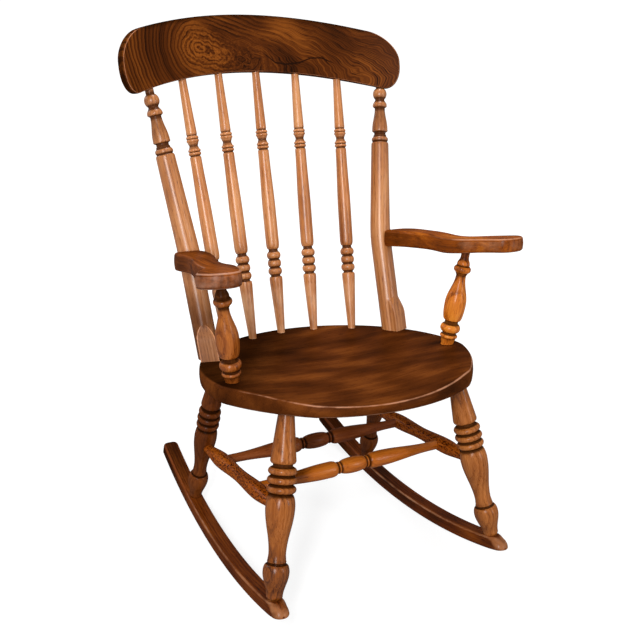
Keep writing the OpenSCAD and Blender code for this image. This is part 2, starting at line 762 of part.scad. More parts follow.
function post_line(k, l) = concat(
    [[0, -tenon_l], [post_end_r, -tenon_l], [post_end_r, 4], [14.6 * k, 12.5]],
    bead(14.4 * k, 12.5, 17 * k, 21),
    [[14.2 * k, 22], [14.2 * k, 24.5]],
    bead(15 * k, 24.5, 19.4 * k, 43),
    [[14.2 * k, 45], [14.2 * k, 49], [15.4 * k, 50]],
    swell(15.4 * k, 50, 21 * k, 84),
    flow(21 * k, 84, 9.8 * k, l - 43),
    flow(9.8 * k, l - 43, 12 * k, l - 37),
    bead(12 * k, l - 37, 16.6 * k, l - 23),
    [[12.8 * k, l - 22], [12.8 * k, l - 20]],
    flow(12.8 * k, l - 20, post_neck_r, l - 7),
    [[post_neck_r, l + tenon_l * 0.7], [0, l + tenon_l * 0.7]]);

module arm_post(left) {
    at_rest() for_side(left) color("chocolate") along(post_foot, post_top) rotate_extrude()
        polygon(post_line(post_r / post_full_r, norm(post_axis)));
}

module post_socket() {
    socket(post_low, post_foot, post_end_r, tenon_l + past);
}

// A wood screw from the back of an upright into the end of the arm
screw_head_r = screw_r * 1.8;
screw_l = 2 * upright_r + 22;
screw_sunk = 3;
module screw_line(gap) {
    translate([bend[0], bend[1] + upright_r - screw_sunk, bend_z]) rotate([90, 0, 0]) {
        cylinder(r = screw_r + gap, h = screw_l + gap);
        cylinder(r1 = screw_head_r + gap, r2 = screw_r + gap, h = screw_head_r - screw_r);
        if (gap > 0) translate([0, 0, -4 * screw_sunk]) cylinder(r = screw_head_r + gap, h = 4 * screw_sunk);
    }
}

module arm_screws() {
    at_rest() color("dimgray") for (left = [false, true]) for_side(left) difference() {
        screw_line(0);
        translate([bend[0], bend[1] + upright_r - screw_sunk, bend_z])
            cube([2 * screw_head_r + 1, 2, 1], center = true);
    }
}

seat();
crest_rail();
upright(true);  // left_upright
upright(false);  // right_upright
back_spindle(-2);  // back_spindle_1
back_spindle(-1);  // back_spindle_2
back_spindle(0);  // back_spindle_3
back_spindle(1);  // back_spindle_4
back_spindle(2);  // back_spindle_5
arm(true);  // left_arm
arm(false);  // right_arm
arm_post(true);  // left_arm_post
arm_post(false);  // right_arm_post
front_leg(true);  // front_left_leg
front_leg(false);  // front_right_leg
rear_leg(true);  // rear_left_leg
rear_leg(false);  // rear_right_leg
side_stretcher(true);  // left_side_stretcher
side_stretcher(false);  // right_side_stretcher
cross_stretcher(cross_front);  // front_cross_stretcher
cross_stretcher(cross_rear);  // rear_cross_stretcher
rocker(true);  // left_rocker
rocker(false);  // right_rocker
arm_screws();
rocker_pegs();
crest_pegs();
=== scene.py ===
from itertools import count
from math import atan, atan2, ceil, cos, exp, hypot, log, pi, radians, sin, sqrt, tau

import bpy
import bmesh
from mathutils import Matrix, Vector


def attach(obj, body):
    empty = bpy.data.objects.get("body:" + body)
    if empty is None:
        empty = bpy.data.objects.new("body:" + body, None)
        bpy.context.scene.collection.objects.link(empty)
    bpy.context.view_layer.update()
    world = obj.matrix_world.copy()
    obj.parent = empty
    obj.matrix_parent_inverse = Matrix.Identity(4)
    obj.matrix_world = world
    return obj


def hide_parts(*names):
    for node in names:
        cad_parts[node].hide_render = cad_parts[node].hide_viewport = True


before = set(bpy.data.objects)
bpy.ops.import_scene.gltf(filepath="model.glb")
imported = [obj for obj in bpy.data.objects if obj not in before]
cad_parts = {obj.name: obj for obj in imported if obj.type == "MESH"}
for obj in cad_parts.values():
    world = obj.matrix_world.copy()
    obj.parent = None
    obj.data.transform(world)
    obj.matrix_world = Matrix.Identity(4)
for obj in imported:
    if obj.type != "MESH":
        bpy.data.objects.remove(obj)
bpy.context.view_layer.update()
print("frame loaded:", len(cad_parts), "nodes")

# The pieces are drawn in millimetres in the upright chair, where the rim of the seat is the plane z = 0
# and the sitter faces -Y, and are then leaned back and set on the floor in metres.

chair = dict(lean=radians(12.3), y=-41.22, z=379.98, scale=0.001)


def atRest(point):
    x, y, z = point
    turnedY = y * cos(chair["lean"]) + z * sin(chair["lean"]) + chair["y"]
    turnedZ = z * cos(chair["lean"]) - y * sin(chair["lean"]) + chair["z"]
    return Vector((x, turnedY, turnedZ)) * chair["scale"]


def metres(*lengths):
    return tuple(length * chair["scale"] for length in lengths)


def tone(*chart):  # a colour as a paint chart gives it, from 0 to 255, turned into linear light
    shares = [c / 255 for c in chart]
    return tuple(s / 12.92 if s < 0.04045 else ((s + 0.055) / 1.055) ** 2.4 for s in shares) + (1.0,)


def between(a, b, share):
    return tuple(p + (q - p) * share for p, q in zip(a, b))


def mirrored(point):
    return (-point[0], point[1], point[2])


sideName = {True: "left", False: "right"}  # the same keys hold what differs from side to side
endName = {True: "front", False: "rear"}  # and from end to end


def sided(point, left):
    return mirrored(point) if left else tuple(point)


def held(value, low, high):
    return min(high, max(low, value))


def ease(share):  # from 0 to 1, level at both ends
    share = held(share, 0.0, 1.0)
    return share * share * (3 - 2 * share)


def rise(value, start, reach):  # 0 up to the start and 1 past the reach, with a soft change between them
    return ease((value - start) / reach)


def curve(values, share):  # a smooth line through evenly spaced values or points
    span = held(share, 0.0, 1.0) * (len(values) - 1)
    i = min(int(span), len(values) - 2)
    t = span - i
    near = [values[held(i + k, 0, len(values) - 1)] for k in (-1, 0, 1, 2)]
    if not isinstance(values[0], tuple):
        near = [(v,) for v in near]
    found = tuple(
        b + t / 2 * (c - a + t * (2 * a - 5 * b + 4 * c - d + t * (3 * b - 3 * c + d - a)))
        for a, b, c, d in zip(*near))
    return found if isinstance(values[0], tuple) else found[0]


# Node trees


class Graph:  # a node tree, with one way to add any node
    def __init__(self, tree):
        self.tree = tree
        tree.nodes.clear()

    def add(self, kind, settings=None, **values):
        node = self.tree.nodes.new(kind)
        for name, value in (settings or {}).items():
            if name == "stops":
                fillRamp(node.color_ramp, value)
            else:
                setattr(node, name, value)
        for name, value in values.items():
            self.feed(node, name.replace("_", " "), value)
        return node

    def feed(self, node, name, value):  # i0 names the first socket, i1 the next, and so on
        socket = node.inputs[int(name[1:])] if name[:1] == "i" and name[1:].isdigit() else node.inputs[name]
        if isinstance(value, Wire):
            value = value.socket
        if isinstance(value, bpy.types.NodeSocket):
            self.tree.links.new(value, socket)
        else:
            socket.default_value = value

    def wire(self, socket):
        return Wire(self, socket)


def fillRamp(ramp, stops):
    while len(ramp.elements) > 1:
        ramp.elements.remove(ramp.elements[-1])
    ramp.elements[0].position, ramp.elements[0].color = stops[0]
    for place, colour in stops[1:]:
        ramp.elements.new(place).color = colour


class Wire:  # a value in a tree, so that its maths reads as an expression
    def __init__(self, graph, socket):
        self.graph, self.socket = graph, socket

    def maths(self, operation, *others, clamp=False):
        values = {"i%d" % i: v for i, v in enumerate(others)}
        node = self.graph.add("ShaderNodeMath", dict(operation=operation, use_clamp=clamp), **values)
        return Wire(self.graph, node.outputs[0])

    def __add__(self, other):
        return self.maths("ADD", self, other)

    __radd__ = __add__

    def __sub__(self, other):
        return self.maths("SUBTRACT", self, other)

    def __rsub__(self, other):
        return self.maths("SUBTRACT", other, self)

    def __mul__(self, other):
        return self.maths("MULTIPLY", self, other)

    __rmul__ = __mul__

    def __truediv__(self, other):
        return self.maths("DIVIDE", self, other)

    def sine(self):
        return self.maths("SINE", self)

    def cosine(self):
        return self.maths("COSINE", self)

    def whole(self):
        return self.maths("FLOOR", self)

    def part(self):  # what is left of a number without its whole part
        return self.maths("FRACT", self)

    def root(self):
        return self.maths("SQRT", self)

    def size(self):
        return self.maths("ABSOLUTE", self)

    def clamped(self):
        return self.maths("ADD", self, 0.0, clamp=True)

    def most(self, other):
        return self.maths("MAXIMUM", self, other)

    def least(self, other):
        return self.maths("MINIMUM", self, other)

    def over(self, low, high):  # 0 below low and 1 above high, with a soft change between them
        node = self.graph.add("ShaderNodeMapRange", dict(interpolation_type="SMOOTHSTEP"),
                              Value=self, From_Min=low, From_Max=high)
        return Wire(self.graph, node.outputs[0])


# Materials


class MaterialGraph(Graph):
    def __init__(self, name):
        self.material = bpy.data.materials.new(name)
        self.material.use_nodes = True
        super().__init__(self.material.node_tree)

    def stretched(self, vector, x, y, z):
        node = self.add("ShaderNodeVectorMath", dict(operation="MULTIPLY"), i0=vector, i1=(x, y, z))
        return node.outputs[0]

    def noise(self, vector, across, along, detail=2.0, rough=0.5, bend=0.0):
        place = self.stretched(vector, across, across, along)
        node = self.add("ShaderNodeTexNoise", Vector=place, Scale=1.0, Detail=detail, Roughness=rough,
                        Distortion=bend)
        return self.wire(node.outputs["Fac"])

    def blend(self, share, a, b):
        node = self.add("ShaderNodeMix", dict(data_type="RGBA", clamp_factor=True), i0=share, i6=a, i7=b)
        return node.outputs[2]

    def vector(self, x, y, z):
        return self.add("ShaderNodeCombineXYZ", X=x, Y=y, Z=z).outputs[0]

    def painted(self, **sockets):  # ends the material in one shader
        shader = self.add("ShaderNodeBsdfPrincipled", **sockets)
        self.add("ShaderNodeOutputMaterial", Surface=shader.outputs[0])
        return self.material


woodLook = dict(  # gaps and warps in metres, and the strength of each kind of mark as a share
    ringGap=0.006, ringShare=0.2, ringWarp=0.006, pith=(0.05, 0.035), fibre=0.45, streaks=0.35, pores=0.4,
    flecks=0.0, patches=0.5, blotch=0.0, worn=0.5, dirtAndShade=0.85, gloss=0.34, coat=0.11, edgeCoat=0.05,
    coatBlur=0.26, figure=None)

grainScale = dict(  # waves in a metre, across and along the grain
    warp=(14, 2.4), ripple=(60, 9), late=(34, 13), fibres=(520, 14), fine=(1500, 60), streaks=(190, 4),
    pores=(1150, 55), patches=(11, 5), flecks=(420, 190), blotch=(22, 9), scuff=(90, 45), rubbed=(26, 17),
    swirl=(55, 55), wander=(16, 11), mottle=(230, 190))

# In every wood a pair says where a mark starts to show and where it is full, and the rest are strengths.

marking = dict(
    warp=4, ripple=0.35, ring=(0.3, 0.85, 0.86), broken=(0.25, 0.7), lateBroken=0.9, lateWhole=0.15,
    pores=(0.60, 0.74), latePores=0.8, otherPores=0.35, fine=0.25, paleRing=0.3, flecks=(0.46, 0.66),
    rubUneven=1.6, wear=1.2, wearUneven=1.5, worn=(0.25, 1.05), dirtUneven=0.2, dirtAndShade=(0.04, 0.7))

surface = dict(
    roughScuff=0.18, roughPores=0.12, roughDirt=0.2, highFibres=0.35, highFine=0.12, deepPores=0.7,
    highScuff=0.25, bump=0.5, bumpDepth=0.0004, coatIndex=2.2)


def roundKnot(graph, x, z, figure):  # lines that run round a knot and away from it along the board
    past = z - figure["along"]
    right, left = past.most(0.0), past.least(0.0)
    lengthwise = left + right * figure["drawn"]
    crosswise = x - figure["across"] + right * figure["slope"]
    gap = (lengthwise * lengthwise + crosswise * crosswise).root()
    flat = graph.vector(x, 0.0, z)
    swirl = graph.noise(flat, *grainScale["swirl"], detail=1.0) - 0.5
    wander = graph.noise(flat, *grainScale["wander"], rough=0.45) - 0.5
    knot = 1 - gap.over(figure["core"], figure["size"])
    spread = 1 + right * figure["spread"]
    return gap + swirl * knot * figure["swirl"] + wander * spread * figure["wander"], knot


def figureLine(graph, x, z, figure):  # one dark line that wanders through the lower middle of the board
    stops = [(place, (height,) * 3 + (1,)) for place, height in figure["line"]]
    start, end, low, high = figure["lineBox"]
    fadeIn, fadeOut = figure["lineFade"]
    drawn = graph.add("ShaderNodeValToRGB", dict(stops=stops), Fac=((z - start) / (end - start)).clamped())
    height = graph.wire(drawn.outputs["Color"]) * (high - low) + low
    gap = (x - height).size()
    inside = z.over(start, start + fadeIn) * (1 - z.over(end - fadeOut, end))
    return (1 - gap.over(*figure["lineWidth"])) * inside


def lateWood(rings, start, full, end):  # each ring darkens slowly and ends at once
    phase = rings.part()
    return phase.over(start, full) * (1 - phase.over(end, 1.0))


def growthRings(graph, grain, look):  # round a pith that lies beside the piece, or round a knot
    parts = graph.add("ShaderNodeSeparateXYZ", Vector=grain)
    x, y, z = (graph.wire(parts.outputs[i]) for i in range(3))
    warp = graph.noise(grain, *grainScale["warp"], detail=3.0) - 0.5
    ripple = graph.noise(grain, *grainScale["ripple"]) - 0.5
    figure = look["figure"]
    if figure:
        reach, knot = roundKnot(graph, x, z, figure)
    else:
        pithX, pithY = look["pith"]
        reach = ((x - pithX) * (x - pithX) + (y - pithY) * (y - pithY)).root()
    reach = (reach + warp * (look["ringWarp"] * marking["warp"])
             + ripple * (look["ringWarp"] * marking["ripple"]))
    late = lateWood(reach / look["ringGap"], *marking["ring"])
    marks = 0.0
    if figure:  # finer lines between the broad ones, more of them to the right, and fibres that follow them
        finer = lateWood(reach * (figure["finer"] / look["ringGap"]), *figure["finerRing"])
        beyond = z.over(*figure["finerRun"])
        late = (late * (figure["broadLines"] - beyond * figure["broadLost"])
                + finer * (beyond * figure["fineGained"] + figure["fineLines"]))
        mottle = graph.noise(graph.vector(x, 0.0, z), *grainScale["mottle"])
        inKnot = (mottle - 0.5) * figure["knotMottle"] - figure["knotShade"]
        marks = knot * inKnot - figureLine(graph, x, z, figure) * figure["lineShade"]
        grain = graph.vector(reach, y, z)
    broken = graph.noise(grain, *grainScale["late"], detail=3.0, rough=0.6).over(*marking["broken"])
    return late * (broken * marking["lateBroken"] + marking["lateWhole"]), marks, grain


def wood(name, dark, middle, light, wornAndHighlightTone, dirtAndShadeTone, **changes):
    look = dict(woodLook, **changes)
    graph = MaterialGraph(name)
    grain = graph.add("ShaderNodeAttribute", dict(attribute_name="grain")).outputs["Vector"]
    wear = graph.wire(graph.add("ShaderNodeAttribute", dict(attribute_name="wear")).outputs["Fac"])
    late, marks, grain = growthRings(graph, grain, look)

    def layer(kind, **settings):
        return graph.noise(grain, *grainScale[kind], **settings)

    # fibres, streaks, pores and flecks along the grain
    fibres = layer("fibres", detail=3.0, rough=0.6)
    fine = layer("fine", detail=1.0)
    poreLines = (layer("pores", detail=1.0).over(*marking["pores"])
                 * (late * marking["latePores"] + marking["otherPores"]))
    patches = layer("patches", detail=3.0, rough=0.55)
    shade = ((patches - 0.5) * look["patches"] + (fibres - 0.5) * look["fibre"]
             + (fine - 0.5) * marking["fine"] + 0.5)
    shade = (shade + (layer("streaks") - 0.5) * look["streaks"]
             - (late - marking["paleRing"]) * look["ringShare"])
    shade = shade - poreLines * look["pores"] + marks
    if look["flecks"]:
        shade = shade - layer("flecks", detail=1.0, bend=0.4).over(*marking["flecks"]) * look["flecks"]
    if look["blotch"]:
        shade = shade + (layer("blotch", detail=1.0) - 0.5) * look["blotch"]
    ramp = graph.add("ShaderNodeValToRGB", dict(stops=[
        (0.0, tone(*dark)), (0.5, tone(*middle)), (1.0, tone(*light))]), Fac=shade.clamped())

    # polish rubbed off the edges and dirt held in the grooves; the same values also carry the painted shade,
    # painted highlights and painted sheen set on some pieces
    scuff = layer("scuff", detail=3.0, rough=0.65)
    uneven = scuff + (layer("rubbed") - 0.5) * marking["rubUneven"] - 0.5
    rubbed = wear * marking["wear"] + uneven * marking["wearUneven"] * wear
    worn = rubbed.over(*marking["worn"]) * look["worn"]
    dirtAndShade = ((scuff - 0.5) * marking["dirtUneven"] - wear).over(*marking["dirtAndShade"]) * look["dirtAndShade"]
    colour = graph.blend(worn, ramp.outputs["Color"], tone(*wornAndHighlightTone))
    colour = graph.blend(dirtAndShade, colour, tone(*dirtAndShadeTone))

    # only the thin coat shines, because a plain gloss would lay a pale veil over the dark wood
    rough = ((scuff - 0.5) * surface["roughScuff"] + poreLines * surface["roughPores"]
             + dirtAndShade * surface["roughDirt"] + look["gloss"])
    height = (fibres * surface["highFibres"] + fine * surface["highFine"]
              - poreLines * surface["deepPores"] + scuff * surface["highScuff"])
    bump = graph.add("ShaderNodeBump", Strength=surface["bump"], Distance=surface["bumpDepth"],
                     Height=height)
    return graph.painted(Base_Color=colour, Roughness=rough.clamped(), Specular_IOR_Level=0.0,
                         Normal=bump.outputs[0], Coat_Roughness=look["coatBlur"],
                         Coat_IOR=surface["coatIndex"],
                         Coat_Weight=(1 - dirtAndShade) * (worn * look["edgeCoat"] + look["coat"]))


# Making meshes


making = dict(weld=1e-6, sharp=38, segments=48, pointGap=4.0, plankStep=(0.013, 0.017, 0.71))


def placed(piece):
    bpy.context.scene.collection.objects.link(piece)
    return piece


def finished(name, mesh, material, slot, node, sharp=making["sharp"]):
    bm = bmesh.new()
    bm.from_mesh(mesh)
    bmesh.ops.remove_doubles(bm, verts=bm.verts, dist=making["weld"])
    bmesh.ops.recalc_face_normals(bm, faces=bm.faces)
    if bm.calc_volume(signed=True) < 0:
        bmesh.ops.reverse_faces(bm, faces=bm.faces)
    bm.to_mesh(mesh)
    bm.free()
    mesh.name = name
    mesh.shade_smooth()
    mesh.set_sharp_from_angle(angle=radians(sharp))
    if not mesh.materials:
        mesh.materials.append(material)
    piece = placed(bpy.data.objects.new(name, mesh))
    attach(piece, "root")
    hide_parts(node)


def rawMesh(name, points, faces, grain, wear):
    mesh = bpy.data.meshes.new(name)
    mesh.from_pydata([tuple(p) for p in points], [], faces)
    mesh.attributes.new("grain", "FLOAT_VECTOR", "POINT").data.foreach_set(
        "vector", [c for g in grain for c in g])
    mesh.attributes.new("wear", "FLOAT", "POINT").data.foreach_set("value", wear)
    return mesh


# Turned pieces


def turningTree():  # revolves an outline and stands it on the line from one place to another
    tree = bpy.data.node_groups.new("turned_piece", "GeometryNodeTree")
    inputs = {}
    for name, kind in (("Outline", "Geometry"), ("Segments", "Int"), ("Start", "Vector"), ("End", "Vector"),
                       ("Grain Offset", "Vector"), ("Wood", "Material")):
        socket = tree.interface.new_socket(name, in_out="INPUT", socket_type="NodeSocket" + kind)
        inputs[name] = socket.identifier
    tree.interface.new_socket("Geometry", in_out="OUTPUT", socket_type="NodeSocketGeometry")
    graph = Graph(tree)

    def sampled(kind, value, row):  # a value of the outline at one of its rows
        return graph.add("GeometryNodeSampleIndex", dict(data_type=kind, domain="POINT"),
                         Geometry=given["Outline"], Value=value, Index=row).outputs[0]

    def stored(kind, geometry, name, value):
        return graph.add("GeometryNodeStoreNamedAttribute", dict(data_type=kind, domain="POINT"),
                         Geometry=geometry, Name=name, Value=value).outputs[0]

    given = graph.add("NodeGroupInput").outputs
    segments = graph.wire(given["Segments"])
    rows = graph.wire(graph.add("GeometryNodeAttributeDomainSize", dict(component="MESH"),
                                Geometry=given["Outline"]).outputs["Point Count"])
    grid = graph.add("GeometryNodeMeshGrid", Size_X=segments, Size_Y=rows - 1.0, Vertices_X=segments + 1.0,
                     Vertices_Y=rows)
    place = graph.add("GeometryNodeInputPosition").outputs[0]
    parts = graph.add("ShaderNodeSeparateXYZ", Vector=place)
    column = graph.wire(parts.outputs[0]) + segments * 0.5
    row = (graph.wire(parts.outputs[1]) + (rows - 1.0) * 0.5 + 0.5).whole()
    wear = graph.add("GeometryNodeInputNamedAttribute", dict(data_type="FLOAT"), Name="wear").outputs[0]
    drawn = graph.add("ShaderNodeSeparateXYZ", Vector=sampled("FLOAT_VECTOR", place, row))
    radius = graph.wire(drawn.outputs[0])
    angle = column * tau / segments
    circle = graph.add("ShaderNodeCombineXYZ", X=radius * angle.cosine(), Y=radius * angle.sine(),
                       Z=drawn.outputs[2]).outputs[0]
    worn = stored("FLOAT", grid.outputs[0], "wear", sampled("FLOAT", wear, row))
    turned = graph.add("GeometryNodeSetPosition", Geometry=worn, Position=circle).outputs[0]
    shifted = graph.add("ShaderNodeVectorMath", dict(operation="ADD"), i0=place, i1=given["Grain Offset"])
    grained = stored("FLOAT_VECTOR", turned, "grain", shifted.outputs[0])
    closed = graph.add("GeometryNodeMergeByDistance", Geometry=grained,
                       Distance=2 * making["weld"]).outputs[0]
    line = graph.add("ShaderNodeVectorMath", dict(operation="SUBTRACT"), i0=given["End"], i1=given["Start"])
    turn = graph.add("FunctionNodeAlignRotationToVector", dict(axis="Z"), Vector=line.outputs[0]).outputs[0]
    stood = graph.add("GeometryNodeTransform", Geometry=closed, Translation=given["Start"],
                      Rotation=turn).outputs[0]
    real = graph.add("GeometryNodeRealizeInstances", Geometry=stood).outputs[0]
    done = graph.add("GeometryNodeSetMaterial", Geometry=real, Material=given["Wood"]).outputs[0]
    graph.add("NodeGroupOutput", Geometry=done)
    return tree, inputs


turning, turningInputs = turningTree()
turnNumbers = count(1)

# Outlines run from the foot to the head as points (radius, height), in millimetres


def wider(points, scale):
    return [(radius * scale, height) for radius, height in points]


def flow(r0, z0, r1, z1, steps=8):  # level at both ends
    return [(r0 + (r1 - r0) * (1 - cos(pi * i / steps)) / 2, z0 + (z1 - z0) * i / steps)
            for i in range(1, steps + 1)]


def swell(r0, z0, r1, z1, steps=8):  # leaves steeply and ends level
    return [(r0 + (r1 - r0) * sin(pi / 2 * i / steps), z0 + (z1 - z0) * (1 - cos(pi / 2 * i / steps)))
            for i in range(1, steps + 1)]


def fall(r0, z0, r1, z1, steps=8):  # leaves level and ends steeply
    return [(r0 + (r1 - r0) * (1 - cos(pi / 2 * i / steps)), z0 + (z1 - z0) * sin(pi / 2 * i / steps))
            for i in range(1, steps + 1)]


def bead(ground, z0, r, z1, steps=10):  # round on top, with open grooves beside it
    return [(ground + (r - ground) * sin(pi * i / steps),
             z0 + (z1 - z0) * (0.55 * i / steps + 0.45 * (1 - cos(pi * i / steps)) / 2))
            for i in range(1, steps + 1)]


def softened(outline):  # adds points along the long straight stretches
    fine = [outline[0]]
    for a, b in zip(outline, outline[1:]):
        parts = max(1, ceil(hypot(b[0] - a[0], b[1] - a[1]) / making["pointGap"])) if a[0] and b[0] else 1
        fine += [between(a, b, i / parts) for i in range(1, parts + 1)]
    return fine


relief = dict(reach=6.0, full=2.4, busyShade=0.42, busySlope=0.6, stepWidth=0.2, dim=0.55, rub=0.55,
              blend=30)


def reliefOf(outline):  # above 0 on what stands out, below 0 in grooves and beside them
    found = []
    for r, z in outline:
        total = weight = slope = 0.0
        for (ra, za), (rb, zb) in zip(outline, outline[1:]):
            near = exp(-(((za + zb) / 2 - z) / relief["reach"]) ** 2) * abs(zb - za)
            total += near * (ra + rb) / 2
            weight += near
            slope += near * abs(ra - rb) / (abs(zb - za) + relief["stepWidth"])
        if weight and r:
            busy = relief["busyShade"] * min(1.0, slope / weight / relief["busySlope"])
            found.append(held((r - total / weight) / relief["full"] - busy, -1.0, 1.0))
        else:
            found.append(0.0)
    return found


def turned(name, outline, start, end, material, slot, node, paintedShadowFrom=None, paintedLightTo=None):
    outline = softened(outline)
    wear = reliefOf(outline)
    heights = [height for radius, height in outline]
    if paintedShadowFrom:  # the end beyond this place is darkened with painted shadow
        wear = [w - relief["dim"] * rise(z, paintedShadowFrom, relief["blend"]) for w, z in zip(wear, heights)]
    if paintedLightTo:  # the end before this place is painted paler, a painted light against the shade there
        wear = [w + relief["rub"] * rise(-z, -paintedLightTo, relief["blend"]) for w, z in zip(wear, heights)]
    mesh = bpy.data.meshes.new(name + "_outline")
    edges = [(i, i + 1) for i in range(len(outline) - 1)]
    mesh.from_pydata([metres(radius, 0, height) for radius, height in outline], edges, [])
    mesh.attributes.new("wear", "FLOAT", "POINT").data.foreach_set("value", wear)
    maker = placed(bpy.data.objects.new(name + "_outline", mesh))
    modifier = maker.modifiers.new("turned", "NODES")
    modifier.node_group = turning
    number = next(turnNumbers)  # each piece is cut from its own place in the plank
    steps = (number % 5 - 2, number % 3 - 1, number)
    plank = tuple(step * times for step, times in zip(making["plankStep"], steps))
    for key, value in (("Segments", making["segments"]), ("Start", tuple(atRest(start))),
                       ("End", tuple(atRest(end))), ("Grain Offset", plank), ("Wood", material)):
        modifier[turningInputs[key]] = value
    bpy.context.view_layer.update()
    ready = bpy.data.meshes.new_from_object(maker.evaluated_get(bpy.context.evaluated_depsgraph_get()))
    bpy.data.objects.remove(maker)
    finished(name, ready, material, slot, node)


# Back: spindles, crest rail and uprights

back = dict(midY=-60, rowRadius=240, height=531, rake=85, bendRadius=545, archRadius=800)
backY = back["midY"] + back["rowRadius"]
backLean = atan(back["rake"] / back["height"])


def bow(x):
    return sqrt(back["bendRadius"] ** 2 - x * x) - back["bendRadius"]


def arch(x):
    return sqrt(back["archRadius"] ** 2 - x * x) - back["archRadius"]


def crestAt(x, h, out=0.0):  # out is the distance behind the middle surface of the rail
    side = out * x / back["bendRadius"]
    level = bow(x) + out * sqrt(1 - (x / back["bendRadius"]) ** 2)
    return (x + side,
            backY + back["rake"] + level * cos(backLean) + h * sin(backLean),
            back["height"] - level * sin(backLean) + h * cos(backLean))


# the lower end of each spindle is painted paler, a painted light
spindles = dict(pitch=72, fan=87, end=7.8, scale=13.6 / 14.2, paintedLightTo=115)
spindleWood = wood("waxed_beech", (120, 58, 18), (196, 124, 68), (232, 172, 118), (246, 196, 150),
                   (58, 23, 6), pores=0.9, fibre=0.6, worn=0.45, patches=1.0, blotch=0.5, coat=0.26,
                   coatBlur=0.3)


def spindleOutline(length, top):  # the upper rings keep the height that the middle spindle gives them
    end = spindles["end"]
    low = ([(14.2, 110), (14.1, 114), (13.4, 117), (10.4, 118), (10.2, 120.5)]
           + bead(10.6, 121, 15.0, 137) + bead(10.6, 137, 14.6, 154) + bead(10.6, 154, 15.0, 170)
           + [(10.0, 171), (10.0, 175)] + swell(10.6, 175, 14.3, 188) + flow(14.3, 188, 14.2, 250, 4))
    high = (flow(14.2, 250, 11.7, top - 160, 10)
            + [(11.2, top - 158.4), (10.2, top - 157.6), (10.0, top - 156)]
            + bead(10.6, top - 155.4, 13.0, top - 149) + bead(10.6, top - 149, 13.0, top - 143)
            + flow(10.4, top - 142.5, 8.8, top - 137) + flow(8.8, top - 137, 10.8, top - 130.5)
            + bead(10.8, top - 130, 12.8, top - 124) + bead(10.8, top - 124, 12.8, top - 118)
            + [(10.2, top - 117), (10.2, top - 115.5), (11, top - 114)])
    return ([(0, -6), (end, -6), (end, 2), (end + 0.5, 8)] + wider(low + high, spindles["scale"])
            + [(end, length - 6), (end, length + 12), (0, length + 12)])


def spindleEnds(i):
    x = i * spindles["pitch"]
    low = (x, back["midY"] + sqrt(back["rowRadius"] ** 2 - x * x), 0)
    x = i * spindles["fan"]
    return low, crestAt(x, arch(x))


def distance(a, b):
    return (Vector(b) - Vector(a)).length


for i in range(-2, 3):
    low, high = spindleEnds(i)
    outline = spindleOutline(distance(low, high), distance(*spindleEnds(0)))
    turned("spindle_%d" % (i + 3), outline, low, high, spindleWood, "spindle_wood",
           "back_spindle_%d" % (i + 3), paintedLightTo=spindles["paintedLightTo"])
print("spindles turned")


def slab(name, upper, lower, rows, layers, place, grainOf, wearOf, material, slot, node):
    # upper and lower are the two halves of an outline that share their end points
    # a layer is an inset, a height in the thickness, and the wear
    last = len(upper) - 1
    outline = list(upper) + list(lower)[-2:0:-1]
    total = len(outline)
    area = sum(a[0] * b[1] - b[0] * a[1] for a, b in zip(outline, outline[1:] + outline[:1]))
    inward = -1 if area > 0 else 1
    normals = []
    for i in range(total):
        (ax, ay), (bx, by) = outline[i - 1], outline[(i + 1) % total]
        length = hypot(bx - ax, by - ay) or 1.0
        normals.append((inward * (by - ay) / length, -inward * (bx - ax) / length))
    points, grain, wear, faces = [], [], [], []

    def add(u, v, level, worn):
        points.append(atRest(place(u, v, level)))
        grain.append(grainOf(u, v, level))
        wear.append(wearOf(u, v, level, worn))
        return len(points) - 1

    def drawnIn(inset):
        return [(u + inset * nx, v + inset * ny) for (u, v), (nx, ny) in zip(outline, normals)]

    rings = [[add(u, v, level, worn) for u, v in drawnIn(inset)] for inset, level, worn in layers]
    for a, b in zip(rings, rings[1:]):
        faces += [(a[i], a[(i + 1) % total], b[(i + 1) % total], b[i]) for i in range(total)]
    for ring, (inset, level, worn) in ((rings[0], layers[0]), (rings[-1], layers[-1])):
        rim = drawnIn(inset)
        columns = [[ring[0]]]
        for i in range(1, last):
            middle = [add(*between(rim[i], rim[total - i], j / rows), level, 0.0) for j in range(1, rows)]
            columns.append([ring[i]] + middle + [ring[total - i]])
        columns.append([ring[last]])
        for a, b in zip(columns, columns[1:]):
            if len(a) == 1:
                faces += [(a[0], b[j], b[j + 1]) for j in range(rows)]
            elif len(b) == 1:
                faces += [(a[j], b[0], a[j + 1]) for j in range(rows)]
            else:
                faces += [(a[j], b[j], b[j + 1], a[j + 1]) for j in range(rows)]
    finished(name, rawMesh(name, points, faces, grain, wear), material, slot, node, sharp=60)


def roundedLayers(thick, topRound, lowRound, worn, bulge, steps=8):  # the two rounded rims and the side
    low, side, top = [], [], []
    for i in range(steps + 1):
        turn = pi / 2 * i / steps
        rub = sin(2 * turn) ** 3 * worn
        low.append((lowRound * (1 - sin(turn)), lowRound * (1 - cos(turn)), rub * 0.7))
        top.append((topRound * (1 - cos(turn)), thick - topRound * (1 - sin(turn)), rub))
    for i in range(1, 4):
        side.append((-bulge * sin(pi * i / 4), lowRound + (thick - lowRound - topRound) * i / 4, 0.0))
    return low + side + top


def cornerDrop(size, half, reach, drop):
    share = held((size - half + reach) / reach, 0.0, 1.0)
    return drop * (1 - sqrt(1 - share * share))
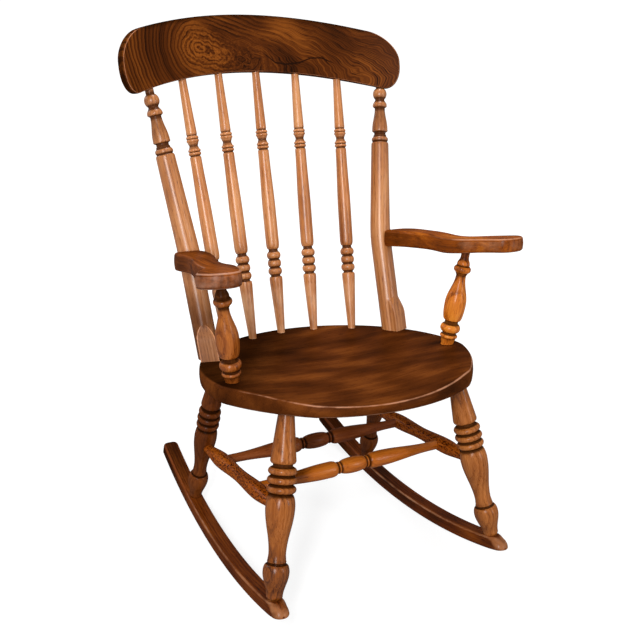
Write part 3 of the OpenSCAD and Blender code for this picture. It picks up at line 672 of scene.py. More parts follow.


# the top edge of the rail is darkened with painted shade
crest = dict(length=622, height=113, thick=24, topCorner=54, lowCorner=36, topDrop=46.3, lowDrop=59.9,
             shift=-15, topRound=2.2, lowRound=8.0, bulge=0.5, worn=0.8, columns=150, rows=40,
             endThinning=0.3, thinRun=(220, 85),  # a run is where a change starts and how far it reaches
             topRun=(75, 30), rimRun=(100, 13), endRun=(235, 45), sideFrom=240, topPaintedShade=1.6, rimPaintedShade=0.5,
             endShade=0.45)
crestFigure = dict(along=-0.125, across=0.044, drawn=0.26, slope=0.2, core=0.006, size=0.07, swirl=0.02,
                   wander=0.014, spread=4.0, finer=4.2, lineBox=(0.03, 0.19, 0.005, 0.040),
                   lineWidth=(0.0004, 0.0022),
                   lineFade=(0.01, 0.02), lineShade=0.6, finerRing=(0.35, 0.8, 0.85), finerRun=(-0.1, 0.1),
                   broadLines=0.85, broadLost=0.6, fineLines=0.35, fineGained=0.15, knotMottle=1.3,
                   knotShade=0.04,
                   line=((0.0, 0.95), (0.16, 0.34), (0.30, 0.22), (0.50, 0.28), (0.66, 0.52), (0.80, 0.50),
                         (1.0, 0.05)))
crestWood = wood("figured_elm", (30, 10, 1), (84, 39, 9), (140, 76, 24), (200, 136, 96), (20, 8, 2),
                 ringGap=0.0092, ringShare=0.6, ringWarp=0.003, fibre=0.8, streaks=0.4, pores=0.8,
                 patches=1.0, blotch=0.9, worn=0.6, coat=0.02, edgeCoat=0.1, coatBlur=0.4, figure=crestFigure)


def crestOutline():
    half = crest["length"] / 2
    upper, lower = [], []
    for i in range(crest["columns"] + 1):
        x = -half * cos(pi * i / crest["columns"])
        topDrop = cornerDrop(abs(x), half, crest["topCorner"], crest["topDrop"])
        lowDrop = cornerDrop(abs(x), half, crest["lowCorner"], crest["lowDrop"])
        upper.append((x, crest["height"] + arch(x) - topDrop))
        lower.append((x, arch(x) + lowDrop))
    for i in (0, -1):
        upper[i] = lower[i] = between(upper[i], lower[i], 0.5)
    return upper, lower


def crestPlace(u, v, level):
    # the front of the rail faces the sitter, so that level 0 is the back, which comes forward at the ends
    share = 1 - crest["endThinning"] * rise(abs(u), *crest["thinRun"])
    return crestAt(u + crest["shift"], v, (crest["thick"] - level) * share - crest["thick"] / 2)


def crestWearAndShade(u, v, level, worn):  # the top edge is darkened with painted shade, the ends are darker, and the front edges are rubbed light
    height = v - arch(u)
    top = rise(height, *crest["topRun"]) * (1 - rise(abs(u), *crest["endRun"]))
    rim = rise(height, *crest["rimRun"]) * top
    onEnd = 0.0 < level < crest["thick"] - 3 and abs(u) > crest["sideFrom"]
    shade = crest["rimPaintedShade"] * rim + (crest["endShade"] if onEnd else 0.0)
    return worn * (1 - crest["topPaintedShade"] * top) - shade


slab("crest_rail_shaped", *crestOutline(), crest["rows"],
     roundedLayers(crest["thick"], crest["topRound"], crest["lowRound"], crest["worn"], crest["bulge"]),
     crestPlace, lambda u, v, w: metres(v, w, u), crestWearAndShade, crestWood, "crest_wood", "crest_rail")
print("crest rail shaped")


def loft(name, rings, grain, wear, material, slot, node, sharp=making["sharp"]):
    points = [p for ring in rings for p in ring]
    size = len(rings[0])
    faces = []
    for row in range(0, len(points) - size, size):
        for i in range(size):
            beside = (i + 1) % size
            faces.append((row + i, row + beside, row + size + beside, row + size + i))
    for row, turn in ((0, -1), (len(points) - size, 1)):
        points.append(sum((Vector(p) for p in points[row:row + size]), Vector()) / size)
        grain.append(tuple(sum(values) / size for values in zip(*grain[row:row + size])))
        wear.append(0.0)
        faces += [(row + i, row + (i + 1) % size, len(points) - 1)[::turn] for i in range(size)]
    finished(name, rawMesh(name, points, faces, grain, wear), material, slot, node, sharp=sharp)


# the lower shaft and the flat face of the foot are darkened with painted shade, most on the left, and the
# corners of the face are lit partly as a painted highlight
uprights = dict(footX=212, footY=80, topX=257, bendX=4, bendY=51, bendZ=193, neck=8.2, radius=21.4,
                footTurn=radians(20), footHalf=17.5, footReach=26, footStraight=34, archTop=67, footRows=90,
                cornerLine=0.92, footIn={True: 4, False: 0}, bendOut={True: 2, False: 0}, bendSoft=30,
                levelTo=60, levelReach=35,  # the sections are level at the foot and turn square to the post
                facePaintedShade={True: -0.4, False: -0.05}, shaftPaintedShade={True: -0.52, False: -0.12}, shaftTop=220,
                shaftReach=150, headShade=0.2, headLength=128, headReach=10, cornerWearAndHighlight=0.95,
                grainX={True: 20, False: -10}, grainZ={True: 0, False: 3000})
uprightWood = wood("honey_beech", (104, 50, 14), (180, 112, 58), (224, 162, 108), (206, 148, 116),
                   (56, 23, 7), ringGap=0.007, ringShare=0.22, pores=0.9, fibre=0.6, patches=1.0, blotch=0.6,
                   coat=0.28, edgeCoat=0.0, coatBlur=0.32)


def upperOutline(top):
    neck = uprights["neck"]
    return ([(21.3, 0), (21.0, 16), (18.2, top - 126)] + fall(18.1, top - 125, 15.6, top - 120.5, 5)
            + bead(14.2, top - 120, 17.2, top - 109)
            + [(13.6, top - 108), (13.6, top - 106), (12.0, top - 104), (11.9, top - 100), (13.6, top - 98.6),
               (15.8, top - 97.6), (16.5, top - 96), (16.2, top - 93)]
            + flow(16.2, top - 93, 10.6, top - 48, 12)
            + [(12.2, top - 46.8), (14.6, top - 45), (15.0, top - 43.4), (14.8, top - 42)]
            + flow(14.6, top - 41, 9.6, top - 30) + bead(9.6, top - 29, 14.5, top - 7.5, 14)
            + [(neck, top - 6.5), (neck, top + 8)])


def uprightRing(radius, height):  # the section from its front round and back, flat in front up to an arch
    half, line, straight = uprights["footHalf"], uprights["cornerLine"], uprights["footStraight"]
    share = held((height - straight) / (uprights["archTop"] - straight), 0.0, 1.0)
    front = uprights["footReach"] + (radius * 0.99 - uprights["footReach"]) * ease(share)
    corner = max(0.05, atan2(half, front) * sqrt(1 - share * share))
    limit = max(radius, front / cos(corner))
    angles = [corner * place for place in (-1, -line, -0.66, -0.33, 0, 0.33, 0.66, line, 1)]
    start = corner * (2 - line)
    angles += [start + (tau - 2 * start) * i / 40 for i in range(41)]
    found = []
    for angle in angles:
        flat = min(front / cos(angle), half / max(abs(sin(angle)), 0.001), limit) if cos(angle) > 0 else 0.0
        onFace = flat > radius + 0.1 and abs(angle) < corner + 0.001
        found.append((angle, max(radius, flat), onFace, onFace and abs(angle) > corner - 0.001))
    return found


def makeUpright(left):
    name = sideName[left] + "_upright"
    foot = Vector((uprights["footX"] - uprights["footIn"][left], uprights["footY"], 0))
    bend = Vector((uprights["footX"] + uprights["bendX"] + uprights["bendOut"][left],
                   uprights["footY"] + uprights["bendY"], uprights["bendZ"]))
    top = Vector(crestAt(uprights["topX"], arch(uprights["topX"])))
    lowLine, highLine = (bend - foot), (top - bend)
    lowLength, highLength = lowLine.length, highLine.length
    lowLine.normalize()
    highLine.normalize()
    rows = uprights["footRows"]
    stations = [(lowLength * i / rows, uprights["radius"], 0.0) for i in range(rows)]
    upperLine = softened(upperOutline(highLength))
    stations += [(lowLength + z, r, w) for (r, z), w in zip(upperLine, reliefOf(upperLine))]
    forward = Vector((sin(uprights["footTurn"]), -cos(uprights["footTurn"]), 0))
    soft = uprights["bendSoft"]
    rings, grain, wear = [], [], []
    for along, radius, worn in stations:
        past = along - lowLength
        near = max(0.0, 1 - abs(past) / soft)
        centre = foot + lowLine * along if past <= 0 else bend + highLine * past
        centre = centre + (highLine - lowLine) * (soft * 0.25 * near * near)
        line = lowLine.lerp(highLine, rise(past, -soft, 2 * soft)).normalized()
        square = Vector((0, 0, 1)).lerp(line, rise(along, uprights["levelTo"], uprights["levelReach"]))
        ahead = (forward - square * forward.dot(square)).normalized()
        across = square.cross(ahead)
        # painted shade darkens the lower shaft, and the head is made darker
        shade = uprights["shaftPaintedShade"][left] * rise(-along, -uprights["shaftTop"], uprights["shaftReach"])
        head = rise(past, highLength - uprights["headLength"], uprights["headReach"])
        shade -= uprights["headShade"] * head
        ring = []
        height = along * lowLine.z if past <= 0 else uprights["bendZ"]
        for angle, reach, onFace, onCorner in uprightRing(radius, height):
            forth, sideways = reach * cos(angle), reach * sin(angle)
            ring.append(atRest(sided(centre + ahead * forth + across * sideways, left)))
            grain.append(metres(forth + uprights["grainX"][left], sideways, along + uprights["grainZ"][left]))
            rubbed = uprights["facePaintedShade"][left] if onFace else worn + shade
            wear.append(uprights["cornerWearAndHighlight"] if onCorner else rubbed)
        rings.append(ring)
    loft(name + "_shaped", rings, grain, wear, uprightWood, "upright_wood", name, sharp=42)


for left in sideName:
    makeUpright(left)
print("uprights shaped")

# Seat

# the seat's top is painted with shade towards the back and left, and its rubbed front edge is partly a
# painted highlight
seat = dict(width=532, front=238, thick=34, topRound=5.5, lowRound=8, bulge=0.8, worn=0.75, columns=120,
            rows=90, frontRound=1.13, cornerRound=1.5, cornerTurn=radians(42), hollowBlend=1.2,
            hollows=((0, -44, 196, 10), (-50, -250, 190, 15)),  # each has its middle, radius and depth
            frontRubAndHighlight=1.5, rubRear=0.5, rubRun=(-150, 330), shade=0.6, paintedShadeSlant=1.2, paintedShadeRun=(-60, 320))
seatWood = wood("polished_elm", (36, 14, 2), (84, 40, 11), (130, 70, 26), (206, 146, 110), (20, 8, 2),
                ringGap=0.014, ringShare=0.06, ringWarp=0.014, pith=(0.9, 0.4), fibre=0.4, streaks=0.1,
                pores=0.9, patches=0.8, blotch=1.0, worn=0.6, coat=0.015, edgeCoat=0.1, coatBlur=0.4)


def seatOutline():  # where four discs overlap: the round back, the flatter front and the two corners
    half, columns = seat["width"] / 2, seat["columns"]
    frontRadius = seat["frontRound"] * half
    cornerRadius = seat["cornerRound"] * half
    cornerBack = cornerRadius - (seat["width"] + 3 * seat["front"]) / 5
    discs = [(0, 0, half), (0, frontRadius - seat["front"], frontRadius)]
    for side in (-1, 1):
        discs.append((side * cornerBack * cos(seat["cornerTurn"]), cornerBack * sin(seat["cornerTurn"]),
                      cornerRadius))

    def edge(angle):
        reaches = []
        for cx, cy, radius in discs:
            along = cx * cos(angle) + cy * sin(angle)
            reaches.append(along + sqrt(radius * radius - (cx * cx + cy * cy - along * along)))
        return (min(reaches) * cos(angle), back["midY"] + min(reaches) * sin(angle))

    upper = [edge(pi - pi * i / columns) for i in range(columns + 1)]
    lower = [edge(-pi + pi * i / columns) for i in range(columns + 1)]
    lower[0], lower[-1] = upper[0], upper[-1]
    return upper, lower


def hollowAt(x, y):
    depths = []
    for middleX, middleY, radius, depth in seat["hollows"]:
        ball = (radius * radius + depth * depth) / (2 * depth)
        gap = (x - middleX) ** 2 + (y - middleY) ** 2
        depths.append(sqrt(max(0.0, ball * ball - gap)) - (ball - depth))
    soft = seat["hollowBlend"]
    return soft * log(sum(exp(d / soft) for d in depths + [0.0]))


def seatPlace(u, v, level):
    return (u, v, level - seat["thick"] - hollowAt(u, v) * ease(level / seat["thick"]))


def seatWearAndShade(u, v, level, worn):  # the sitter's legs rub the front edge, which is partly a painted highlight, and the top is darkened towards the back and left with painted shade
    onTop = rise(level, seat["thick"] - seat["topRound"], seat["topRound"])
    dark = seat["shade"] * onTop * rise(v - seat["paintedShadeSlant"] * u, *seat["paintedShadeRun"])
    return worn * (seat["frontRubAndHighlight"] * rise(-v, *seat["rubRun"]) - seat["rubRear"]) - dark


slab("seat_board", *seatOutline(), seat["rows"],
     roundedLayers(seat["thick"], seat["topRound"], seat["lowRound"], seat["worn"], seat["bulge"]),
     seatPlace, lambda u, v, w: metres(v, w, u), seatWearAndShade, seatWood, "seat_wood", "seat")
print("seat shaped")

# Arms and their posts

arms = dict(height=181, thick=27, width=74, joinOut=5, rearRound=0.08, padLength=0.42, rows=14,
            topRound=5.5, lowRound=4.5, bulge=0.8, worn=1.0, wearRear=0.4, wearPad=0.6, padRun=60,
            # the sides of the pad get a painted sheen and the rear of the arm a painted shade
            sidePaintedSheen=0.42, rearPaintedShade=0.3, rearPaintedShadeRun=(-20, 70), rearOver=10,
            halfShares=(0.31, 0.38, 0.33, 0.3, 0.36, 0.46, 0.5),  # half widths from the rear to the pad
            lift=(-14, -7, -2, 0, -1, 5, 12, 16), deeper=(8, 7, 6, 5, 4, 2, 0, 0),
            grainX={True: 500, False: 100}, grainZ={True: 1000, False: 2000})
armLook = dict(ringGap=0.011, ringShare=0.18, streaks=0.6, pores=0.7, patches=1.2, blotch=1.0, worn=0.6,
               coat=0.05, coatBlur=0.3)
armWood = {
    True: wood("russet_elm", (34, 12, 2), (98, 46, 11), (158, 82, 26), (196, 144, 116), (22, 8, 2),
               **armLook),
    False: wood("tawny_elm", (56, 22, 2), (140, 68, 13), (204, 116, 32), (206, 146, 108), (26, 10, 3),
                **armLook)}

# the top of each post, under its arm, is darkened with painted shadow
posts = dict(footX=235, footY=-82, splay=25, rake=22, end=12.5, neck=8.2, paintedShadowFrom={True: 140, False: 165})
postLook = dict(ringGap=0.008, ringShare=0.4, ringWarp=0.01, pith=(0.03, 0.012), fibre=0.7, streaks=0.5,
                pores=0.9, worn=0.4, patches=1.0, blotch=0.7)
postWood = {
    True: wood("auburn_beech", (56, 20, 2), (134, 68, 21), (184, 106, 42), (208, 140, 94), (34, 12, 3),
               **postLook),
    False: wood("orange_beech", (108, 46, 4), (206, 112, 32), (240, 152, 58), (232, 162, 96), (44, 18, 5),
                **postLook)}
postFoot = (posts["footX"], posts["footY"], 0)
postTop = (posts["footX"] + posts["splay"], posts["footY"] - posts["rake"], arms["height"])
armJoin = (uprights["footX"] + uprights["bendX"] + arms["joinOut"], uprights["footY"] + uprights["bendY"])


def fromJoin(share, dx, dy):  # a place on the way from the upright to the post
    x, y = between(armJoin, postTop[:2], share)
    return (x + dx, y + dy)


armMiddle = [fromJoin(0, 12, -14), fromJoin(0, 16, -55), fromJoin(0, 21, -110), fromJoin(0.72, 6, 0),
             fromJoin(1, 0, 0), fromJoin(1, 19, -40), fromJoin(1, 36, -75)]


def armNormal(share):
    a, b = curve(armMiddle, max(0, share - 0.01)), curve(armMiddle, min(1, share + 0.01))
    dx, dy = b[0] - a[0], b[1] - a[1]
    length = hypot(dx, dy)
    return dy / length, -dx / length


def armEdge(side, steps=56):
    points = []
    for i in range(steps + 1):
        share = i / steps
        (x, y), (nx, ny) = curve(armMiddle, share), armNormal(share)
        short = max(0.0, 1 - share / arms["rearRound"])
        half = arms["width"] * curve(arms["halfShares"], share) * sqrt(1 - 0.75 * short * short)
        points.append((x + side * half * nx, y + side * half * ny))
    return points


def armOutline():
    nx, ny = armNormal(1.0)
    mx, my = armMiddle[-1]
    front = []
    for i in range(1, 24):  # the round front of the pad
        sideways = arms["width"] / 2 * cos(pi * i / 24)
        forth = arms["width"] * arms["padLength"] * sin(pi * i / 24)
        front.append((mx + sideways * nx - forth * ny, my + sideways * ny + forth * nx))
    one = armEdge(1) + front[:12]
    other = armEdge(-1) + front[:10:-1]
    start = between(one[0], other[0], 0.5)
    tip = front[11]
    return [start] + one[:-1] + [tip], [start] + other[:-1] + [tip]


armRearY = armJoin[1] + arms["rearOver"]
armFrontY = armMiddle[-1][1] - arms["width"] / 2


def makeArm(left):
    name = sideName[left] + "_arm"

    def place(u, v, level):
        share = (v - armRearY) / (armFrontY - armRearY)
        deep = arms["thick"] + curve(arms["deeper"], share)
        up = arms["height"] + curve(arms["lift"], share) + level / arms["thick"] * deep
        return sided((u, v, up), left)

    def grained(u, v, w):
        return metres(u + arms["grainX"][left], w, v + arms["grainZ"][left])

    def rubbed(u, v, level, worn):  # the hand rubs the pad light, partly as a painted highlight; the front of each side gets a painted sheen, and the rear end is darkened with painted shade
        onPad = rise(-v, -posts["footY"], arms["padRun"])
        sideSheen = arms["sidePaintedSheen"] if 4.0 < level < arms["thick"] - 5.0 else 0.0
        rear = arms["rearPaintedShade"] * rise(v, *arms["rearPaintedShadeRun"])
        return worn * (arms["wearRear"] + arms["wearPad"] * onPad) + sideSheen * onPad - rear

    slab(name + "_shaped", *armOutline(), arms["rows"],
         roundedLayers(arms["thick"], arms["topRound"], arms["lowRound"], arms["worn"], arms["bulge"]),
         place, grained, rubbed, armWood[left], "arm_wood", name)


def postOutline(length):
    end, neck = posts["end"], posts["neck"]
    return ([(0, -6), (end, -6), (end, 2), (14.4, 11.5)]
            + bead(13.0, 12.5, 17.4, 22) + [(12.8, 22.6), (12.8, 23.6)]
            + bead(13.4, 24, 19.8, 43, 14) + [(13.2, 44.5), (13.2, 48.5), (15.4, 50)]
            + swell(15.4, 50, 21, 84, 14) + flow(21, 84, 9.8, length - 43, 18)
            + flow(9.8, length - 43, 12, length - 37) + bead(12, length - 37, 16.8, length - 23, 12)
            + [(12.6, length - 22), (12.6, length - 20)] + flow(12.6, length - 20, neck, length - 6)
            + [(neck, length + 8), (0, length + 8)])


for left in sideName:
    makeArm(left)
    name = sideName[left] + "_arm_post"
    turned(name + "_turned", postOutline(distance(postFoot, postTop)), sided(postFoot, left),
           sided(postTop, left), postWood[left], "post_wood", name, paintedShadowFrom=posts["paintedShadowFrom"][left])
print("arms made")

# Rockers

# the rear of each rocker is darkened with painted shade, and the top of the toe is made lighter, partly wear
# and partly a painted highlight
rockers = dict(radius=1000, height=24, width=32, drop=386, gap=229, toeIn=radians(4), front=160, rear=468,
               lowY=-95, topEdge=5, lowEdge=2.5, toeReach=15.6, toeTurn=radians(85), domeStart=-146,
               domeReach=30, rounder=12, roundRun=(140, 26), rearRound=9, rearIn=7, rearDown=2,
               topWear=0.6, lowWear=0.2, toeWearAndHighlight=0.72, paintedRearShade=-0.49, rearPaintedShadeRun=(200, 220),
               grainX={True: 300, False: 700})
rockerWood = wood("dark_beech", (38, 14, 1), (92, 39, 8), (138, 70, 20), (186, 122, 76), (16, 6, 1),
                  fibre=0.8, streaks=0.6, pores=0.8, patches=1.0, blotch=0.7, worn=0.6, coat=0.03,
                  edgeCoat=0.12, coatBlur=0.3)
curveZ = rockers["radius"] - rockers["drop"]


def rockerX(y):
    return rockers["gap"] - (y - rockers["lowY"]) * sin(rockers["toeIn"]) / cos(rockers["toeIn"])


def rockerTopZ(y):
    run = (y - rockers["lowY"]) / cos(rockers["toeIn"])
    return curveZ - sqrt((rockers["radius"] - rockers["height"]) ** 2 - run * run)


def rockerPoint(arc, out, up):  # along the running edge, out from the middle of the chair, and up
    reach = rockers["radius"] - up
    along, z = reach * sin(arc / rockers["radius"]), curveZ - reach * cos(arc / rockers["radius"])
    return (rockers["gap"] - along * sin(rockers["toeIn"]) + out * cos(rockers["toeIn"]),
            rockers["lowY"] + along * cos(rockers["toeIn"]) + out * sin(rockers["toeIn"]), z)


def sectionRing(half, height, topEdge, lowEdge, steps=5):  # points round a section, with the edges' wear
    arcs = []
    corners = ((half, height, topEdge), (-half, height, topEdge), (-half, 0, lowEdge), (half, 0, lowEdge))
    for quarter, (x, y, r) in enumerate(corners):
        middleX, middleY = x - (r if x > 0 else -r), y - (r if y > 0 else -r)
        rub = rockers["topWear"] if quarter < 2 else rockers["lowWear"]
        arcs.append([(middleX + r * cos(pi / 2 * (quarter + i / steps)),
                      middleY + r * sin(pi / 2 * (quarter + i / steps)),
                      sin(pi * i / steps) * rub) for i in range(steps + 1)])
    ring = []
    for arc, following in zip(arcs, arcs[1:] + arcs[:1]):
        ring += arc + [between(arc[-1], following[0], j / 5) for j in range(1, 5)]
    return ring


def rockerStations():  # each is a place along the running edge with the half width and the height there
    half, height, front = rockers["width"] / 2, rockers["height"], -rockers["front"]
    stations = []
    for i in range(1, 19):  # the round toe
        turn = rockers["toeTurn"] * (1 - i / 18)
        stations.append((front - rockers["toeReach"] * sin(turn), half * cos(turn), height))
    run = rockers["rear"] - rockers["rearRound"] - front
    stations += [(front + run * i / 220, half, height) for i in range(1, 221)]
    for i in range(1, 7):  # the rounded rear end
        share = sin(pi / 2 * i / 6)
        stations.append((rockers["rear"] - rockers["rearRound"] * (1 - share),
                         half - rockers["rearIn"] * (1 - sqrt(1 - share * share * 0.98)),
                         height - rockers["rearDown"] * (1 - cos(pi / 2 * i / 6))))
    return stations


def makeRocker(left):
    name = sideName[left] + "_rocker"
    rings, grain, wear = [], [], []
    for arc, wide, tall in rockerStations():
        dome = held((rockers["domeStart"] - arc) / rockers["domeReach"], 0.0, 1.0)  # on top of the toe
        tall *= sqrt(1 - dome * dome)
        rounder = rockers["rounder"] * rise(-arc, *rockers["roundRun"])
        topEdge = min(rockers["topEdge"] + rounder, wide * 0.92, tall * 0.8)
        lowEdge = min(rockers["lowEdge"] + 3 * dome, wide * 0.5, tall * 0.2)
        # painted shade towards the rear
        rear = rockers["paintedRearShade"] * rise(arc, *rockers["rearPaintedShadeRun"])
        ring = []
        for out, up, worn in sectionRing(wide, tall, topEdge, lowEdge):
            ring.append(atRest(sided(rockerPoint(arc, out, up), left)))
            grain.append(metres(out + rockers["grainX"][left], up, arc))
            wear.append(worn * (1 - dome) + dome * rockers["toeWearAndHighlight"] + rear)
        rings.append(ring)
    loft(name + "_bent", rings, grain, wear, rockerWood, "rocker_wood", name, sharp=60)


for left in sideName:
    makeRocker(left)
print("rockers bent")

# Legs and stretchers

legs = dict(radius={True: 26, False: 22.5}, fullRadius=27.5, endShare=0.56,
            footY={True: -229, False: 183}, stretcherUp={True: 154, False: 136},
            crossing={True: (174, -176, 0), False: (199, 56, 0)})  # where a leg's line meets z = 0
# the rear legs use a darker copy of the leg wood, a painted shade
legWood = {
    True: wood("stained_beech", (62, 24, 3), (142, 76, 24), (190, 116, 56), (204, 140, 92), (36, 13, 3),
               ringShare=0.26, fibre=0.7, pores=0.9, worn=0.45, patches=1.0, blotch=0.6),
    False: wood("beech_painted_shade", (36, 13, 1), (94, 44, 12), (140, 76, 32), (144, 88, 50), (20, 7, 1),
                fibre=0.6, worn=0.35, coat=0.04, patches=0.9, blotch=0.5)}
feet = {front: (rockerX(y), y, rockerTopZ(y)) for front, y in legs["footY"].items()}


def legOutline(scale, end, under):
    foot = ([(12.8, -7), (12.8, 1), (15.2, 4)] + flow(15.2, 4, 24.8, 47, 14) + fall(24.8, 47, 19.2, 61, 12)
            + [(17.0, 61.8), (16.6, 63.4), (17.8, 64.6), (18.0, 66), (17.2, 68)])
    vase = flow(17.2, 68, 16.2, 78, 4) + flow(16.2, 78, 27.5, 160, 20) + fall(27.5, 160, 20.2, 182.5, 12)
    rings = (bead(19.8, 183, 27.6, 199, 14) + bead(19.8, 199, 27.9, 215, 14) + bead(19.8, 215, 27.0, 230, 14)
             + [(18.4, 231), (18.4, 235)] + swell(18.8, 235, 24.2, 241) + [(23.6, 246)])
    return ([(0, -7)] + wider(foot + vase + rings, scale)
            + [(end, under - 8), (end, under + 6), (0, under + 6)])


for left in sideName:
    for front in endName:
        name = "%s_%s_leg" % (endName[front], sideName[left])
        foot, crossing, radius = feet[front], legs["crossing"][front], legs["radius"][front]
        under = distance(foot, crossing) * (1 + seat["thick"] / foot[2])
        turned(name + "_turned", legOutline(radius / legs["fullRadius"], radius * legs["endShare"], under),
               sided(foot, left), sided(crossing, left), legWood[front], "leg_wood", name)

stretchers = dict(side=15.5, sideWaist=12.5, cross=15.5, sideEnd=9.5, crossEnd=9, neck=8.8, ring=11.8,
                  crossShare={True: 0.31, False: 0.73})
stretcherWood = wood("flecked_beech", (62, 22, 2), (156, 76, 16), (206, 118, 38), (196, 120, 56), (40, 16, 4),
                     flecks=0.5, worn=0.2, coat=0.04)
crossWood = {
    # the rear cross stretcher uses a darker copy of the wood, a painted shade
    True: wood("amber_beech", (104, 44, 3), (178, 94, 24), (212, 128, 46), (218, 148, 84), (40, 15, 4),
               ringShare=0.16, pores=0.5, worn=0.35, coat=0.1, blotch=0.5),
    False: wood("brown_beech_painted_shade", (62, 24, 4), (126, 62, 26), (164, 98, 54), (174, 112, 70), (26, 10, 3),
                ringShare=0.16, worn=0.25, coat=0.04)}
legMiddles = [between(feet[front], legs["crossing"][front],
                      legs["stretcherUp"][front] / distance(feet[front], legs["crossing"][front]))
              for front in endName]


def sideOutline(length):
    end, full, waist = stretchers["sideEnd"], stretchers["side"], stretchers["sideWaist"]
    gap = legs["fullRadius"] * 0.7
    return ([(0, 0), (end, 0), (end, gap)] + flow(end, gap, full, length * 0.27, 16)
            + flow(full, length * 0.27, waist, length * 0.5, 14)
            + flow(waist, length * 0.5, full, length * 0.73, 14)
            + flow(full, length * 0.73, end, length - gap, 16) + [(end, length), (0, length)])


def crossOutline(half):
    full, end, neck = stretchers["cross"], stretchers["crossEnd"], stretchers["neck"]
    side = (fall(full, 0, neck + 1, 27, 14) + bead(neck, 28, stretchers["ring"], 34, 8)
            + swell(neck, 35, full, 48, 12) + [(full, 60)] + flow(full, 60, end, half - 31, 18)
            + [(end, half), (0, half)])
    whole = [(r, -z) for r, z in side[::-1]] + [(full, 0)] + side
    return [(r, z + half) for r, z in whole]


for left in sideName:
    name = sideName[left] + "_side_stretcher"
    start, end = (sided(place, left) for place in legMiddles)
    turned(name + "_turned", sideOutline(distance(start, end)), start, end, stretcherWood,
           "stretcher_wood", name)
for front in endName:
    name = endName[front] + "_cross_stretcher"
    place = between(*legMiddles, stretchers["crossShare"][front])
    turned(name + "_turned", crossOutline(place[0]), mirrored(place), place, crossWood[front],
           "stretcher_wood", name)
print("legs and stretchers turned")

# Screws and pegs

fixings = dict(speckle=900, gloss=0.35)


def fixingPaint(name, dark, light, metal, uneven, strength, depth):
    graph = MaterialGraph(name)
    place = graph.add("ShaderNodeTexCoord").outputs["Object"]
    speckles = graph.noise(place, fixings["speckle"], fixings["speckle"], detail=3.0)
    bump = graph.add("ShaderNodeBump", Strength=strength, Distance=depth, Height=speckles)
    return graph.painted(Base_Color=graph.blend(speckles, tone(*dark), tone(*light)), Metallic=metal,
                         Roughness=speckles * uneven + fixings["gloss"], Normal=bump.outputs[0])


blued = fixingPaint("blued_steel", (66, 58, 52), (120, 112, 104), 1.0, 0.3, 0.3, 0.0002)
pegged = fixingPaint("peg_wood", (74, 38, 16), (132, 80, 42), 0.0, 0.2, 0.4, 0.0003)
for node, paint in (("arm_screws", blued), ("rocker_pegs", pegged), ("crest_pegs", pegged)):
    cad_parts[node].data.materials.clear()
    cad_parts[node].data.materials.append(paint)
print("screws and pegs painted")

# Floor, light and camera

studio = dict(floorSize=40.0, floorTone=0.3, bounceTone=0.14, glow=0.82, clearFrom=0.4, clearTo=1.6,
              skyLow=0.36, skyHigh=0.26)


def inView(graph):  # 1 where a surface is looked at, straight or in a mirror or glass
    path = graph.add("ShaderNodeLightPath").outputs
    seen = graph.wire(path["Is Camera Ray"]).most(graph.wire(path["Is Glossy Ray"]))
    return seen.most(graph.wire(path["Is Transmission Ray"]))


def floorPaint():
    graph = MaterialGraph("pale_floor")
    seen = inView(graph)
    colour = graph.blend(seen, (studio["bounceTone"],) * 3 + (1,), (studio["floorTone"],) * 3 + (1,))
    plain = graph.add("ShaderNodeBsdfDiffuse", Color=colour)
    place = graph.add("ShaderNodeTexCoord").outputs["Object"]
    length = graph.add("ShaderNodeVectorMath", dict(operation="LENGTH"), i0=place).outputs["Value"]
    far = graph.wire(length).over(studio["clearFrom"], studio["clearTo"])
    strength = seen * (far * (1 - studio["glow"]) + studio["glow"])
    glow = graph.add("ShaderNodeEmission", Color=(1, 1, 1, 1), Strength=strength)
    both = graph.add("ShaderNodeAddShader", i0=plain.outputs[0], i1=glow.outputs[0])
    graph.add("ShaderNodeOutputMaterial", Surface=both.outputs[0])
    return graph.material


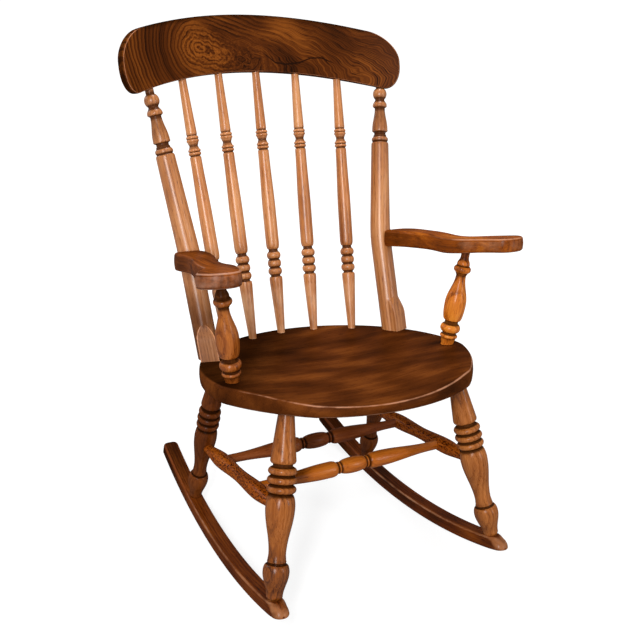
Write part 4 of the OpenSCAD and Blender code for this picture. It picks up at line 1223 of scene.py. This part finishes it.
half = studio["floorSize"] / 2
floorMesh = bpy.data.meshes.new("floor")
floorCorners = [(-half, -half, 0), (half, -half, 0), (half, half, 0), (-half, half, 0)]
floorMesh.from_pydata(floorCorners, [], [(0, 1, 2, 3)])
floorMesh.materials.append(floorPaint())
placed(bpy.data.objects.new("floor", floorMesh))

world = bpy.data.worlds.new("studio")
bpy.context.scene.world = world
world.use_nodes = True
sky = Graph(world.node_tree)
aim = sky.add("ShaderNodeSeparateXYZ", Vector=sky.add("ShaderNodeTexCoord").outputs["Generated"])
dim = sky.wire(aim.outputs[2]).over(0.0, 0.7)
light = dim * (studio["skyHigh"] - studio["skyLow"]) + studio["skyLow"]
glow = sky.add("ShaderNodeBackground", Color=(1, 1, 1, 1), Strength=light + (1 - light) * inView(sky))
sky.add("ShaderNodeOutputWorld", Surface=glow.outputs[0])


softboxes = dict(  # each has its place, the height that it is aimed at, its width and length, and its power
    key=((-1.7, -1.9, 1.7), 0.45, (0.32, 1.4), 62), fill=((1.5, -2.4, 1.3), 0.4, (0.3, 1.4), 17),
    top=((0.2, 0.6, 2.6), 0.5, (0.8, 0.8), 28), back=((-1.9, 2.3, 1.6), 0.5, (1.2, 1.2), 24))
for name, (place, aimHeight, size, power) in softboxes.items():
    data = bpy.data.lights.new(name, "AREA")
    data.shape = "RECTANGLE"
    data.size, data.size_y = size
    data.energy = power
    lamp = placed(bpy.data.objects.new(name, data))
    lamp.location = place
    lamp.rotation_euler = (Vector((0, 0, aimHeight)) - Vector(place)).to_track_quat("-Z", "Y").to_euler()

eye = dict(place=(-0.934, -1.519, 1.2405), right=(0.8681, -0.4881, 0.0899), up=(0.1323, 0.4023, 0.9059),
           ahead=(0.4784, 0.7745, -0.4138), lens=56.19, shift=0.0031)
cameraData = bpy.data.cameras.new("camera")
cameraData.lens = eye["lens"]
cameraData.sensor_width = 36.0
cameraData.shift_x = eye["shift"]
camera = placed(bpy.data.objects.new("camera", cameraData))
right, up, ahead = (Vector(eye[key]).normalized() for key in ("right", "up", "ahead"))
turn = Matrix([list(row) for row in zip(right, up, -ahead)]).to_4x4()
camera.matrix_world = Matrix.Translation(eye["place"]) @ turn
bpy.context.scene.camera = camera
bpy.context.scene.view_settings.view_transform = "Standard"
print("studio set")
